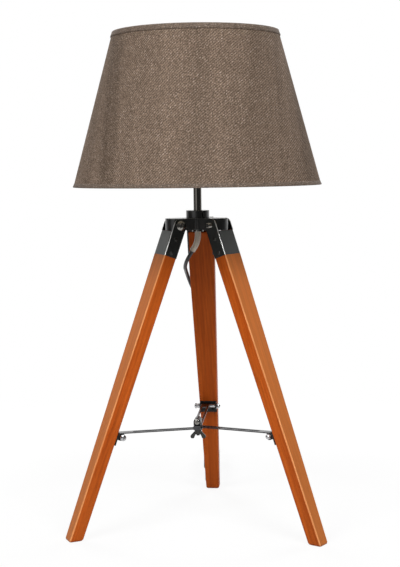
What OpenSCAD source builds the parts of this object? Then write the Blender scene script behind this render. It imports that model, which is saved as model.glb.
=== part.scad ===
// Tripod table lamp: a tapered drum shade on a metal stem, held by a three-armed hub on three splayed
// wooden legs. The legs fold inwards on hinges under the hub, and three slotted straps, clamped
// together by a wing nut in the middle, set their spread.
// Frame: +Z up, origin on the floor below the stem, +Y towards the rear leg, +X to the right.

/* [Stand] */
// Height of the leg hinges above the floor
hinge_z = 370; // [350:1:390]
// Distance of each leg hinge from the stem's axis
hinge_r = 30; // [29:0.5:32]
// Angle between a leg and the upright, in degrees
splay = 20.3; // [18:0.1:22]
// Width of a leg at its hinge
leg_w_top = 34.2; // [31:0.1:38]
// Width of a leg at the floor
leg_w_foot = 17.5; // [14:0.1:24]
// Thickness of a leg
leg_t = 16; // [14:0.1:18]
// Rounding of a leg's long edges
leg_edge_r = 1.6; // [0.8:0.1:3]
// Rounding where a foot meets the floor
foot_edge_r = 2.4; // [1:0.1:4]

/* [Leg brackets] */
// Sheet thickness of a leg bracket
sheet_t = 1.8; // [1.2:0.1:2.2]
// Length of a bracket below the hinge axis
bracket_len = 39.5; // [34:0.5:46]
// Diameter of the hinge bolts
hinge_bolt_d = 6; // [5:0.5:6.5]
// Head diameter of the hinge bolts
hinge_head_d = 11.5; // [9.5:0.1:12.5]
// Head height of the hinge bolts
hinge_head_h = 3.4; // [2.5:0.1:4.5]
// Length of thread that stands out past a bracket
thread_out = 6.5; // [4:0.5:8]
// Diameter of the bracket nails
nail_d = 2.2; // [1.6:0.1:2.6]
// Head diameter of the bracket nails
nail_head_d = 4.6; // [3.5:0.1:5.5]
// Head height of the bracket nails
nail_head_h = 0.7; // [0.4:0.1:1]
// Length of a bracket nail in the wood
nail_len = 9; // [6:0.5:12]

/* [Hub] */
// Height of the hub's arms
arm_h = 14; // [12:0.5:16]
// Height of the arms' underside below the hinge axis
arm_drop = 6; // [5:0.5:7]
// Distance of an arm's round end from the axis
arm_reach = 41.5; // [40:0.5:44]
// Radius of the hub's round middle
hub_core_r = 17.5; // [16:0.5:18.5]
// Diameter of the collar on the hub
collar_d = 28; // [24:0.5:31]
// Height of the collar
collar_h = 9; // [7:0.5:12]
// Width of the collar's clamping slit
collar_slit = 1.2; // [0.8:0.1:2]
// Diameter of the disc under the hub
disc_d = 14; // [13:0.5:20]
// Thickness of the disc under the hub
disc_t = 2.4; // [1:0.1:3]

/* [Stem and lampholder] */
// Diameter of the stem tube
rod_d = 9.8; // [9:0.1:11]
// Bore of the stem tube
rod_bore = 7.4; // [6:0.1:8]
// Height of the lampholder's lower end above the floor
holder_z = 434; // [428:1:440]
// Diameter of the lampholder's body
holder_d = 40; // [38:0.5:42]
// Height of the lampholder's cap
holder_cap_h = 16; // [14:0.5:20]
// Height of the lampholder's body
holder_body_h = 34; // [32:0.5:38]
// Wall thickness of the lampholder
holder_wall = 2.4; // [2:0.1:3]
// Diameter of the switch knob
knob_d = 11; // [9:0.5:13]
// Length of the switch knob
knob_len = 13; // [10:0.5:16]
// Diameter of the switch spindle
spindle_d = 4; // [3.5:0.1:4.5]
// Diameter of the bulb's screw cap
bulb_cap_d = 26.4; // [26:0.1:26.8]
// Length of the bulb's screw cap
bulb_cap_h = 24; // [22:0.5:26]
// Diameter of the bulb's glass
bulb_d = 60; // [50:1:62]
// Height of the bulb's glass above its cap
bulb_h = 82; // [74:1:86]

/* [Shade] */
// Outer diameter of the shade at the top
shade_top_d = 200; // [160:1:220]
// Outer diameter of the shade at the bottom
shade_bottom_d = 300; // [260:1:320]
// Height of the shade
shade_h = 183; // [175:1:200]
// Height of the shade's lower edge above the floor
shade_z = 417; // [410:1:420]
// Thickness of the shade's lined fabric
fabric_t = 1.4; // [1:0.1:2]
// Height of the binding at the shade's top
trim_top_h = 6.5; // [4:0.5:10]
// Height of the binding at the shade's lower edge
trim_bottom_h = 4.5; // [3:0.5:8]
// How far the bindings stand out
trim_t = 0.7; // [0.4:0.1:1.2]
// Diameter of the shade's wire rings and spokes
wire_d = 3; // [2:0.1:4]
// Thickness of the ring that sits on the lampholder
fitter_t = 1.6; // [1.2:0.1:2.4]

/* [Folding brace] */
// Distance of the middle clip's bolt down a leg from the hinge
clip_s = 258.4; // [250:0.1:262]
// Step between the clips of two legs, which stacks the straps
clip_step = 2.6; // [2.5:0.05:3]
// Distance of a clip's bolt from the leg's inner face
clip_gap = 5.4; // [5.3:0.1:7]
// Width of a clip
clip_w = 22; // [20:0.5:23]
// Height of a clip's plate
clip_h = 16; // [15:0.5:20]
// Sheet thickness of a clip
clip_t = 1.5; // [1.2:0.1:1.6]
// Diameter of the clip bolts
clip_bolt_d = 4; // [3.5:0.1:4]
// Width of a strap
strap_w = 10.5; // [9:0.1:11]
// Thickness of a strap
strap_t = 1.2; // [1:0.1:1.3]
// Slope of the straps, down towards the middle, in degrees
strap_slope = 2.6; // [0:0.1:3]
// Outer radius of a strap's rolled eye
eye_r = 3.4; // [3.2:0.1:3.5]
// Width of a strap's slot
slot_w = 5; // [4.8:0.1:5.4]
// Solid length of a strap beside its eye
slot_margin = 19; // [16:0.5:24]
// How far the straps' crossing lies left of the stem's axis
cross_shift = 3; // [0:0.1:3]
// Diameter of the clamp bolt
clamp_bolt_d = 4; // [3.5:0.1:4]
// Width of the saddle on the straps
saddle_w = 8.8; // [8:0.1:9]
// Height of the saddle
saddle_h = 8; // [7:0.1:10]
// Diameter of the wing nut's boss
wing_boss_d = 8; // [7:0.1:10]
// Height of the wing nut's boss
wing_boss_h = 5; // [4:0.1:7]
// Distance between the wing nut's tips
wing_span = 19; // [16:0.5:24]
// Thickness of the wings
wing_t = 1.8; // [1.4:0.1:2.4]

/* [Cord] */
// Diameter of the mains cord
cord_d = 4.6; // [4.4:0.1:4.6]
// Length of the clear sleeve where the cord leaves the hub
sleeve_len = 24; // [20:1:26]
// Outer diameter of the clear sleeve
sleeve_d = 7.4; // [6.4:0.1:8]
// Length of the straight runs of the tied hank
hank_run = 92; // [80:1:92]
// Radius of the hank's end loops
hank_r = 18.4; // [16:0.1:18.4]
// Loops in the hank
hank_loops = 3; // [2:1:3]
// Width of the plug's body
plug_w = 24; // [22:0.5:25]
// Thickness of the plug's body
plug_t = 15; // [14:0.5:16]
// Length of the plug's body
plug_len = 27; // [25:0.5:30]
// Distance between the plug's blades
blade_pitch = 12.7; // [12:0.1:13]

/* [Fits] */
// Radial clearance of the turning pins
pin_play = 0.06; // [0.03:0.01:0.1]
// Gap between pieces that move past each other
move_gap = 0.3; // [0.3:0.05:0.4]
// Gap round pieces that sit still in a hole
seat_gap = 0.1; // [0.05:0.05:0.2]

/* [Hidden] */
$fn = 64;
eps = 0.01;

// Each leg's direction seen from above, and the level of its strap in the stack
REAR = [90, 1];
RIGHT = [330, 0];
LEFT = [210, -1];

// Colours
black = [0.07, 0.07, 0.08];
grey_steel = [0.33, 0.34, 0.33];
dark_chrome = [0.36, 0.36, 0.37];
steel = [0.62, 0.62, 0.63];
wood = [0.66, 0.37, 0.17];
brass = [0.75, 0.6, 0.3];
fabric = [0.53, 0.46, 0.41];
trim = [0.4, 0.32, 0.27];
clear = [0.85, 0.86, 0.86];
glass = [0.95, 0.95, 0.93];

// Stand
leg_len = hinge_z / cos(splay);
slant = 1 / cos(splay);
function leg_r(z) = hinge_r + (hinge_z - z) * tan(splay);
function leg_w(z) = leg_w_foot + (leg_w_top - leg_w_foot) * z / hinge_z;
hub_z = hinge_z - arm_drop;
hub_top = hub_z + arm_h;
collar_top = hub_top + collar_h;
exit_z = hub_z - disc_t;

// Brackets: as wide as the leg where they end, with the hub's arm between their ears
bracket_w = leg_w(hinge_z - bracket_len * cos(splay));
ear_in = bracket_w / 2 - sheet_t;
arm_w = 2 * (ear_in - move_gap);
ear_r = leg_t / 2;
// The wood's top end clears the arm's underside, and stops the leg there when it swings out
wood_top = (arm_drop + move_gap + (leg_t / 2 - sheet_t) * sin(splay)) / cos(splay);
nail_s = [wood_top + 8.5, bracket_len - 5];
// The bracket's outer web begins just below the arm
web_top = (arm_drop + move_gap + leg_t / 2 * sin(splay)) / cos(splay);

// Lampholder levels
body_z = holder_z + holder_cap_h;
flange_z = body_z + 14;
flange_t = 3;
flange_d = holder_d + 10;
fitter_z = flange_z + flange_t;
nut_z = fitter_z + fitter_t;
nut_h = 7;
nut_d = flange_d + 4;
fitter_d = nut_d + 8;
floor_t = 8;
socket_z = body_z + floor_t;
knob_z = body_z + floor_t / 2;
contact_h = 2.4;
contact_d = 6;
tip_h = 2;
bulb_z = socket_z + contact_h + tip_h;
glass_z = bulb_z + bulb_cap_h;

// Shade: the cloth's outer radius at a height above the shade's lower edge
shade_taper = (shade_bottom_d - shade_top_d) / 2 / shade_h;
function shade_r(h) = shade_bottom_d / 2 - trim_t - shade_taper * h;
frame_h = wire_d / 2 + 0.8;
frame_r = shade_r(frame_h) - fabric_t - wire_d / 2 - 0.4;
wire_top_h = shade_h - wire_d / 2 - 0.8;
wire_top_r = shade_r(wire_top_h) - fabric_t - wire_d / 2 - 0.4;

// Brace: the bolt of a clip at a strap's level, and the straps' heights where they cross
function bolt_s(level) = clip_s - level * clip_step;
function bolt_r(level) = hinge_r + bolt_s(level) * sin(splay) - (leg_t / 2 + clip_gap) * cos(splay);
function bolt_z(level) = hinge_z - bolt_s(level) * cos(splay) - (leg_t / 2 + clip_gap) * sin(splay);
plate_up = eye_r - strap_t / 2;
// The crossing lies left of the axis, which changes each strap's reach and moves it sideways on its bolt
function strap_reach(way) = bolt_r(way[1]) + cross_shift * cos(way[0]);
function strap_shift(way) = cross_shift * sin(way[0]);
function cross_z(way) = bolt_z(way[1]) + plate_up / cos(strap_slope) - strap_reach(way) * tan(strap_slope);
// How far a strap's face rises or sinks within the clamp, from its slope
tilt_room = strap_w / 2 * tan(strap_slope) + 0.05;
stack_top = cross_z(REAR) + strap_t / 2 + tilt_room;
stack_bottom = cross_z(LEFT) - strap_t / 2 - tilt_room;
washer_t = 1;
washer_top = stack_bottom - move_gap;
nut_gap = 0.2;
wing_top = washer_top - washer_t - nut_gap;
saddle_z = stack_top + move_gap;
// The rear strap's end is bent down in front of the crossing, clear of both front straps' edges
tab_w = saddle_w;
tab_back = strap_w / 2 / sin(60) + tab_w / 2 / tan(60) + 0.7;
tab_t = 1.4;
tab_h = cross_z(REAR) - cross_z(LEFT) + 0.6;
saddle_y = -tab_back - tab_t;
saddle_d = 6 - saddle_y;
cross_screw_z = saddle_z + saddle_h / 2;

// The hank stands on its edge in line with the rear leg, tied at its waist
hank_u = [-0.0995, 0.995, 0] / norm([-0.0995, 0.995, 0]);
hank_v = [hank_u[1], -hank_u[0], 0];
hank_from = [-5.3, 213, cord_d / 2 + 0.05];
hank_pitch = cord_d + 0.5;
hank_rise = 4;
hank_dip = 10;
ARC_STEPS = 8;
RUN_STEPS = 4;
hank_turn = 2 * hank_run + 2 * PI * hank_r;
hank_span = hank_loops * hank_pitch;
// One loop as [along, up, share of the loop's length]: lower run, far arc, upper run, near arc
LOOP = [
    for (i = [0:RUN_STEPS - 1]) let (f = i / RUN_STEPS)
        [hank_run * f, hank_rise * (1 - cos(360 * f)) / 2, hank_run * f],
    for (i = [0:ARC_STEPS - 1]) let (a = 180 * i / ARC_STEPS)
        [hank_run + hank_r * sin(a), hank_r * (1 - cos(a)), hank_run + PI * hank_r * a / 180],
    for (i = [0:RUN_STEPS - 1]) let (f = i / RUN_STEPS)
        [hank_run * (1 - f), 2 * hank_r - hank_dip * (1 - cos(360 * f)) / 2,
            hank_run * (1 + f) + PI * hank_r],
    for (i = [0:ARC_STEPS - 1]) let (a = 180 * i / ARC_STEPS)
        [-hank_r * sin(a), hank_r * (1 + cos(a)), 2 * hank_run + PI * hank_r * (1 + a / 180)]
];
// The lower runs lie straight, and the rest of each loop drifts sideways by one pitch
function hank_drift(q) = max(0, q[2] - hank_run) / (hank_turn - hank_run);
function hank_at(q, turn) = hank_from + q[0] * hank_u + [0, 0, q[1]]
    + ((turn + hank_drift(q)) * hank_pitch - hank_span / 2) * hank_v;
HANK = [
    for (turn = [0:hank_loops - 1]) for (q = LOOP) hank_at(q, turn),
    for (i = [0:RUN_STEPS]) let (f = i / RUN_STEPS)
        hank_at([hank_run * f, hank_rise * (1 - cos(360 * f)) / 2, 0], hank_loops)
];
hank_start = HANK[0] - cord_d * hank_u;
hank_end = HANK[len(HANK) - 1] + cord_d * hank_u;
HANK_PATH = [hank_start, each HANK, hank_end];
// The tail leaves the hank straight, then swings back to its middle plane and up to the plug's axis
tail_lead = 5;
tail_run = 34;
tail_shift = [0, 0, plug_t / 2 - hank_from[2]] - hank_span / 2 * hank_v;
plug_at = hank_end + (tail_run + 2 * tail_lead) * hank_u + tail_shift;
relief_len = 11;
blade_w = 6.35;
blade_t = 1.5;
blade_len = 16.5;

// Route of the cord's free stretch: out of the hub, round the rear leg's left side, down its back to
// the floor and to the hank, then from the hank to the plug
ROUTE = [
    [0, 0, exit_z], [0, 0, 356.4], [-1, 0.4, 350.4], [-3.1, 1.3, 344.6], [-6.4, 2.9, 339.2],
    [-10.2, 5.6, 333.2], [-14.2, 10, 326.8], [-17.2, 16.6, 320.8], [-19, 26, 315.4],
    [-19.6, 37.5, 311.2], [-19.8, 49.5, 306.6], [-19.4, 61, 300.6], [-17.8, 71, 292.4],
    [-14.6, 78.6, 282], [-10.8, 83.6, 269.6], [-7.8, 87.2, 255.4], [-5.8, 91.2, 239.5],
    [-5, 97.6, 220], [-5, 105.4, 198.5], [-5, 113.3, 177], [-5, 121.3, 155.5], [-5, 129.3, 133.8],
    [-5, 137.3, 112.2], [-5, 145.3, 90.6], [-5, 153.3, 69], [-5, 161, 48.5], [-5.3, 168, 29.5],
    [-6, 173.6, 17.4], [-7.8, 180.2, 8.7], [-9.8, 188.5, 3.6], hank_start - 9.7 * hank_u, hank_start
];
TAIL = [
    hank_end,
    for (t = [0:0.2:1])
        hank_end + (tail_lead + tail_run * t) * hank_u + (3 * t * t - 2 * t * t * t) * tail_shift,
    plug_at
];

// Sweeping a round tube along points. The reference is never along the tube.
ACROSS = [1, 0, 0];
function unit(v) = v / norm(v);
function heading(p, i) = let (n = len(p) - 1)
    unit(i == 0 ? p[1] - p[0] : i == n ? p[n] - p[n - 1] : unit(p[i + 1] - p[i]) + unit(p[i] - p[i - 1]));
function ring(at, dir, r, sides) = let (a = unit(cross(ACROSS, dir)), b = cross(dir, a))
    [for (k = [0:sides - 1]) let (w = 360 * (k + 0.5) / sides) at + r * (cos(w) * a + sin(w) * b)];
// Radii go evenly from r0 at the first point to r1 at the last
function rings(p, r0, r1, sides) = let (n = len(p) - 1)
    [for (i = [0:n]) each ring(p[i], heading(p, i), r0 + (r1 - r0) * i / n, sides)];
function tube_faces(count, sides) = [
    for (k = [1:sides - 2]) [0, k, k + 1],
    for (i = [0:count - 2]) for (k = [0:sides - 1]) let (n = (k + 1) % sides, a = i * sides)
        each [[a + k, a + sides + k, a + sides + n], [a + k, a + sides + n, a + n]],
    for (k = [1:sides - 2]) let (a = (count - 1) * sides) [a, a + k + 1, a + k]
];
function path_len(p) = len(p) < 2 ? 0 : sum_len([for (i = [1:len(p) - 1]) norm(p[i] - p[i - 1])]);
function sum_len(v, i = 0) = i >= len(v) ? 0 : v[i] + sum_len(v, i + 1);
// A smooth curve through the points, with one more ring between two of them and straight ends
function between(p, i) = let (n = len(p) - 1)
    i == 0 || i == n - 1 ? (p[i] + p[i + 1]) / 2
    : (9 * (p[i] + p[i + 1]) - p[i - 1] - p[i + 2]) / 16;
function smooth(p) = [for (i = [0:len(p) - 2]) each [p[i], between(p, i)], p[len(p) - 1]];

// Least gap of the hank to itself, measured between points of different turns
hank_gap = min([
    for (i = [0:len(HANK_PATH) - 2]) for (j = [i + 1:len(HANK_PATH) - 1])
        if (j - i > RUN_STEPS + 2) norm(HANK_PATH[i] - HANK_PATH[j])
]) - cord_d;
echo(hank_gap = hank_gap);
echo(cord_length = path_len(smooth(ROUTE)) + path_len(HANK_PATH) + path_len(smooth(TAIL)));

module tube(p, r0, r1, sides) {
    polyhedron(points = rings(p, r0, r1, sides), faces = tube_faces(len(p), sides));
}

// Places a piece in a leg's own frame: the hinge is the origin, -Z runs down the leg, +X points out
module on_leg(az) {
    rotate([0, 0, az]) translate([hinge_r, 0, hinge_z]) rotate([0, -splay, 0]) children();
}

// Places a piece at a clip's bolt, in the leg's frame
module at_clip(way) {
    on_leg(way[0]) translate([-leg_t / 2 - clip_gap, 0, -bolt_s(way[1])]) children();
}

// A cylinder along Y between two values of y
module pin_y(d, y0, y1) {
    translate([0, y0, 0]) rotate([-90, 0, 0]) cylinder(d = d, h = y1 - y0);
}

// A domed head on the XY plane, with an optional cross recess in its top
module screw_head(d, h, recess = true) {
    difference() {
        intersection() {
            cylinder(d = d, h = h);
            translate([0, 0, h - d]) sphere(r = d);
        }
        if (recess)
            for (turn = [0, 90]) rotate([0, 0, turn])
                translate([-d * 0.28, -d * 0.05, h * 0.45]) cube([d * 0.56, d * 0.1, h]);
    }
}

// ---- Hub and stem

module arm_outline() {
    end = arm_reach - arm_w / 2;
    translate([0, -arm_w / 2]) square([end, arm_w]);
    translate([end, 0]) circle(d = arm_w);
}

module hub_block() color(black) {
    difference() {
        translate([0, 0, hub_z]) linear_extrude(arm_h) {
            circle(r = hub_core_r);
            for (way = [REAR, LEFT, RIGHT]) rotate(way[0]) arm_outline();
        }
        translate([0, 0, hub_z + 2]) cylinder(d = rod_d + 2 * seat_gap, h = arm_h);
        translate([0, 0, hub_z - 1]) cylinder(d = cord_d + 2 * seat_gap, h = arm_h);
        for (way = [REAR, LEFT, RIGHT]) rotate([0, 0, way[0]]) translate([hinge_r, 0, hinge_z])
            pin_y(hinge_bolt_d + 2 * pin_play, -arm_w, arm_w);
    }
}

module hub_collar() color(black) {
    translate([0, 0, hub_top]) difference() {
        cylinder(d = collar_d, h = collar_h);
        translate([0, 0, -1]) cylinder(d = rod_d + 2 * seat_gap, h = collar_h + 2);
        rotate([0, 0, 300]) translate([rod_d / 2 + 2, -collar_slit / 2, -1])
            cube([collar_d, collar_slit, collar_h + 2]);
    }
}

module base_disc() color(steel) {
    translate([0, 0, exit_z]) difference() {
        cylinder(d = disc_d, h = disc_t);
        translate([0, 0, -1]) cylinder(d = cord_d + 2 * seat_gap, h = disc_t + 2);
    }
}

module rod() color(dark_chrome) {
    translate([0, 0, hub_z + 2]) difference() {
        cylinder(d = rod_d, h = holder_z + holder_wall + 4 - hub_z - 2);
        translate([0, 0, -1]) cylinder(d = rod_bore, h = holder_z);
    }
}

module lead_inside() color(black) {
    translate([0, 0, exit_z]) cylinder(d = cord_d, h = body_z - exit_z);
}

module cord_sleeve() color(clear, 0.6) {
    route = [for (p = smooth(ROUTE)) if (p[2] > exit_z - sleeve_len) p];
    last = len(route) - 1;
    beyond = route[last] + unit(route[last] - route[last - 1]);
    bore = cord_d / 2 + 0.25;
    difference() {
        tube(route, sleeve_d / 2, sleeve_d / 2 - 0.2, 12);
        tube([route[0] + [0, 0, 1], each route, beyond], bore, bore, 12);
    }
}

// ---- Lampholder and bulb

module holder_cap() color(black) {
    low = rod_d / 2 + 3.2;
    bore = rod_d / 2 + seat_gap;
    translate([0, 0, holder_z]) difference() {
        rotate_extrude() polygon([
            [0, 0], [low, 0], [low, 4], [holder_d / 2, holder_cap_h - 5],
            [holder_d / 2, holder_cap_h], [holder_d / 2 - holder_wall, holder_cap_h],
            [holder_d / 2 - holder_wall, holder_cap_h - 4], [low - 1, 4 + holder_wall], [0, 4 + holder_wall]
        ]);
        translate([0, 0, -1]) cylinder(r = bore, h = holder_cap_h);
    }
}

module holder_body() color(black) {
    translate([0, 0, body_z]) difference() {
        union() {
            cylinder(d = holder_d, h = holder_body_h);
            translate([0, 0, flange_z - body_z]) cylinder(d = flange_d, h = flange_t);
        }
        translate([0, 0, floor_t]) cylinder(d = holder_d - 2 * holder_wall - 6, h = holder_body_h);
        translate([0, 0, knob_z - body_z]) rotate([0, 90, 0])
            cylinder(d = spindle_d + 2 * pin_play, h = holder_d);
    }
}

module holder_thread() color(brass) {
    outer = holder_d - 2 * holder_wall - 6 - 2 * seat_gap;
    translate([0, 0, socket_z]) difference() {
        cylinder(d = outer, h = holder_body_h - floor_t - 4);
        translate([0, 0, 0.8]) cylinder(d = bulb_cap_d + 0.8, h = holder_body_h);
        translate([0, 0, -1]) cylinder(d = contact_d + 6, h = 3);
    }
}

module holder_contact() color(brass) {
    translate([0, 0, socket_z]) cylinder(d = contact_d, h = contact_h);
}

module shade_nut() color(black) {
    translate([0, 0, nut_z]) difference() {
        cylinder(d = nut_d, h = nut_h);
        translate([0, 0, -1]) cylinder(d = holder_d + 2 * seat_gap, h = nut_h + 2);
        for (turn = [0:30:330]) rotate([0, 0, turn]) translate([nut_d / 2 + 0.6, 0, -1])
            cylinder(d = 3.4, h = nut_h + 2);
    }
}

module switch_knob() color(black) {
    translate([0, 0, knob_z]) rotate([0, 90, 0]) {
        translate([0, 0, holder_d / 2 - 12]) cylinder(d = spindle_d, h = 14);
        translate([0, 0, holder_d / 2 + move_gap]) difference() {
            cylinder(d = knob_d, h = knob_len);
            for (turn = [0:36:324]) rotate([0, 0, turn]) translate([knob_d / 2 + 0.5, 0, 4])
                cylinder(d = 2.4, h = knob_len);
        }
    }
}

module bulb_base() color(steel) {
    translate([0, 0, bulb_z - tip_h]) {
        cylinder(d = contact_d + 2, h = tip_h + eps);
        translate([0, 0, tip_h]) cylinder(d = bulb_cap_d, h = bulb_cap_h);
    }
}

// The glass: a neck that widens into a globe
module bulb_globe() color(glass, 0.8) {
    neck_r = bulb_cap_d / 2 - 1.2;
    globe_r = bulb_d / 2;
    globe_z = bulb_h - globe_r;
    reach = 42;
    bend_r = (neck_r * neck_r + pow(globe_z - 4, 2) - globe_r * globe_r) / (2 * (globe_r - neck_r));
    translate([0, 0, glass_z]) rotate_extrude() polygon([
        [0, 0], [neck_r, 0], [neck_r, 4],
        for (a = [0:6:reach]) let (r = neck_r + bend_r * (1 - cos(a)), z = 4 + bend_r * sin(a))
            if (z < globe_z - globe_r * sin(reach)) [r, z],
        for (a = [-reach:6:90]) [globe_r * cos(a), globe_z + globe_r * sin(a)]
    ]);
}

// ---- Shade

// A tapered band of the shade between two heights, from an inner to an outer offset
module shade_band(h0, h1, inner, outer) {
    translate([0, 0, shade_z]) rotate_extrude($fn = 128) polygon([
        [shade_r(h0) + inner, h0], [shade_r(h0) + outer, h0],
        [shade_r(h1) + outer, h1], [shade_r(h1) + inner, h1]
    ]);
}

module shade_fabric() color(fabric) {
    shade_band(0, shade_h, -fabric_t, 0);
}

module shade_trim_top() color(trim) {
    shade_band(shade_h - trim_top_h, shade_h, 0, trim_t);
}

module shade_trim_bottom() color(trim) {
    shade_band(0, trim_bottom_h, 0, trim_t);
}

module wire_ring(r, z) {
    translate([0, 0, z]) rotate_extrude($fn = 96) translate([r, 0]) circle(d = wire_d, $fn = 24);
}

module shade_wire_top() color(steel) {
    wire_ring(wire_top_r, shade_z + wire_top_h);
}

module shade_wire_bottom() color(steel) {
    wire_ring(frame_r, shade_z + frame_h);
}

// Ring that the lampholder's nut clamps
module fitter_ring() color(steel) {
    translate([0, 0, fitter_z]) difference() {
        cylinder(d = fitter_d, h = fitter_t);
        translate([0, 0, -1]) cylinder(d = holder_d + 2 * seat_gap, h = fitter_t + 2);
    }
}

// Three spokes, welded to the lower wire and to the fitter ring
module shade_spokes() color(steel) {
    rise = fitter_z + fitter_t / 2 - shade_z - frame_h;
    run = frame_r - fitter_d / 2;
    for (az = [30, 150, 270]) rotate([0, 0, az]) translate([frame_r, 0, shade_z + frame_h])
        rotate([0, -atan2(run, rise), 0]) cylinder(d = wire_d, h = norm([run, rise]) + 0.5);
}

// ---- Legs

// A rounded rectangle as points, centred on [cx, 0]
function round_box(cx, w, d, r) = [
    for (c = [[1, 1, 0], [-1, 1, 90], [-1, -1, 180], [1, -1, 270]]) for (a = [0:15:90])
        [cx + c[0] * (w / 2 - r) + r * cos(c[2] + a), c[1] * (d / 2 - r) + r * sin(c[2] + a)]
];

// The leg's section at a height, drawn in from its edges
module leg_slice(z, inset) {
    translate([0, 0, z]) linear_extrude(eps)
        polygon(round_box(leg_r(z), leg_t * slant - 2 * inset, leg_w(z) - 2 * inset, leg_edge_r));
}

module leg(way) color(wood) {
    big = 100;
    difference() {
        rotate([0, 0, way[0]]) hull() {
            leg_slice(0, foot_edge_r * 0.8);
            leg_slice(foot_edge_r * 0.3, foot_edge_r * 0.3);
            leg_slice(foot_edge_r, 0);
            leg_slice(hinge_z + 10, 0);
        }
        on_leg(way[0]) {
            // above the wood's top end
            translate([-big / 2, -big / 2, -wood_top]) cube(big);
            // where the bracket lies against the outer face and the two sides
            translate([leg_t / 2 - sheet_t, -big / 2, -bracket_len]) cube([big, big, big]);
            for (side = [0, 1]) mirror([0, side, 0])
                translate([-big / 2, ear_in, -bracket_len]) cube([big, big, big]);
            for (s = nail_s) translate([0, 0, -s]) pin_y(nail_d, -big, big);
        }
        at_clip(way) for (y = [-1, 1]) translate([0, y * clip_w / 4, -clip_h * 0.53])
            rotate([0, 90, 0]) cylinder(d = nail_d, h = clip_gap + 10);
    }
}

// Section across a bracket: a channel with rounded outer bends
module bracket_section() {
    web_in = leg_t / 2 - sheet_t;
    difference() {
        union() {
            translate([-leg_t / 2, -bracket_w / 2]) square([leg_t - sheet_t, bracket_w]);
            translate([web_in, -ear_in]) square([sheet_t, 2 * ear_in]);
            for (y = [-ear_in, ear_in]) translate([web_in, y]) circle(r = sheet_t);
        }
        translate([-leg_t, -ear_in]) square([leg_t + web_in, 2 * ear_in]);
    }
}

// A channel round the leg, with two ears that carry the hinge bolt
module bracket(way) color(grey_steel) {
    on_leg(way[0]) difference() {
        union() {
            for (side = [0, 1]) mirror([0, side, 0]) translate([0, ear_in + sheet_t, 0])
                rotate([90, 0, 0]) linear_extrude(sheet_t) {
                    circle(r = ear_r);
                    translate([-leg_t / 2, -web_top]) square([leg_t, web_top]);
                }
            translate([0, 0, -bracket_len]) linear_extrude(bracket_len - web_top) bracket_section();
        }
        pin_y(hinge_bolt_d + 2 * seat_gap, -bracket_w, bracket_w);
        for (s = nail_s) translate([0, 0, -s]) pin_y(nail_d + 2 * seat_gap, -bracket_w, bracket_w);
    }
}

module bracket_nails(way) color(grey_steel) {
    on_leg(way[0]) for (s = nail_s) for (side = [0, 1]) mirror([0, side, 0]) {
        translate([0, 0, -s]) pin_y(nail_d, bracket_w / 2 - nail_len, bracket_w / 2 + eps);
        translate([0, bracket_w / 2, -s]) rotate([-90, 0, 0]) screw_head(nail_head_d, nail_head_h, false);
    }
}

// Pan-headed bolt: head on the leg's left as seen from outside, thread standing out on the other side
module hinge_bolt(way) color(steel) {
    thread_turns = floor(thread_out);
    on_leg(way[0]) {
        pin_y(hinge_bolt_d, -bracket_w / 2, bracket_w / 2 + eps);
        translate([0, bracket_w / 2, 0]) rotate([-90, 0, 0]) screw_head(hinge_head_d, hinge_head_h);
        translate([0, -bracket_w / 2, 0]) rotate([90, 0, 0]) rotate_extrude() polygon([
            [0, -eps], [hinge_bolt_d / 2, -eps],
            for (i = [0:thread_turns - 1])
                each [[hinge_bolt_d / 2, i + 0.3], [hinge_bolt_d / 2 - 0.5, i + 0.65]],
            [hinge_bolt_d / 2 - 0.7, thread_out], [0, thread_out]
        ]);
    }
}

// ---- Folding brace

// Plate on the leg's inner face, with two ears that carry the bolt
module clip(way) color(black) {
    ear_r = 4.5;
    at_clip(way) difference() {
        union() {
            translate([clip_gap - clip_t, -clip_w / 2, -clip_h * 0.74]) cube([clip_t, clip_w, clip_h]);
            for (side = [0, 1]) mirror([0, side, 0]) translate([0, clip_w / 2, 0])
                rotate([90, 0, 0]) linear_extrude(clip_t) {
                    circle(r = ear_r);
                    translate([0, -ear_r]) square([clip_gap, 2 * ear_r - 0.5]);
                }
        }
        pin_y(clip_bolt_d + 2 * seat_gap, -clip_w, clip_w);
        for (y = [-1, 1]) translate([0, y * clip_w / 4, -clip_h * 0.53])
            rotate([0, 90, 0]) cylinder(d = nail_d + 2 * seat_gap, h = clip_gap + 1);
    }
}

module clip_screws(way) color(black) {
    face = clip_gap - clip_t;
    at_clip(way) for (y = [-1, 1]) translate([face, y * clip_w / 4, -clip_h * 0.53]) {
        rotate([0, 90, 0]) cylinder(d = nail_d, h = clip_t + 8);
        rotate([0, -90, 0]) screw_head(4.2, 1.3);
    }
}

// Head with a shoulder on the leg's left as seen from outside, and a stub for the cap nut
module clip_bolt(way) color(steel) {
    half = clip_w / 2;
    at_clip(way) {
        pin_y(clip_bolt_d, -half - 4, half + 4);
        pin_y(clip_bolt_d + 2.4, half, half + 3);
        translate([0, half + 3.8, 0]) rotate([-90, 0, 0]) screw_head(7.2, 3.4);
    }
}

module clip_nut(way) color(steel) {
    half = clip_w / 2;
    at_clip(way) difference() {
        translate([0, -half, 0]) rotate([90, 0, 0]) {
            cylinder(d = 7.4, h = 2, $fn = 6);
            intersection() {
                translate([0, 0, 2 - eps]) cylinder(d = 6.4, h = 4);
                translate([0, 0, 2]) sphere(d = 6.4);
            }
        }
        pin_y(clip_bolt_d + 2 * seat_gap, -half - 4.2, half);
    }
}

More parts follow.
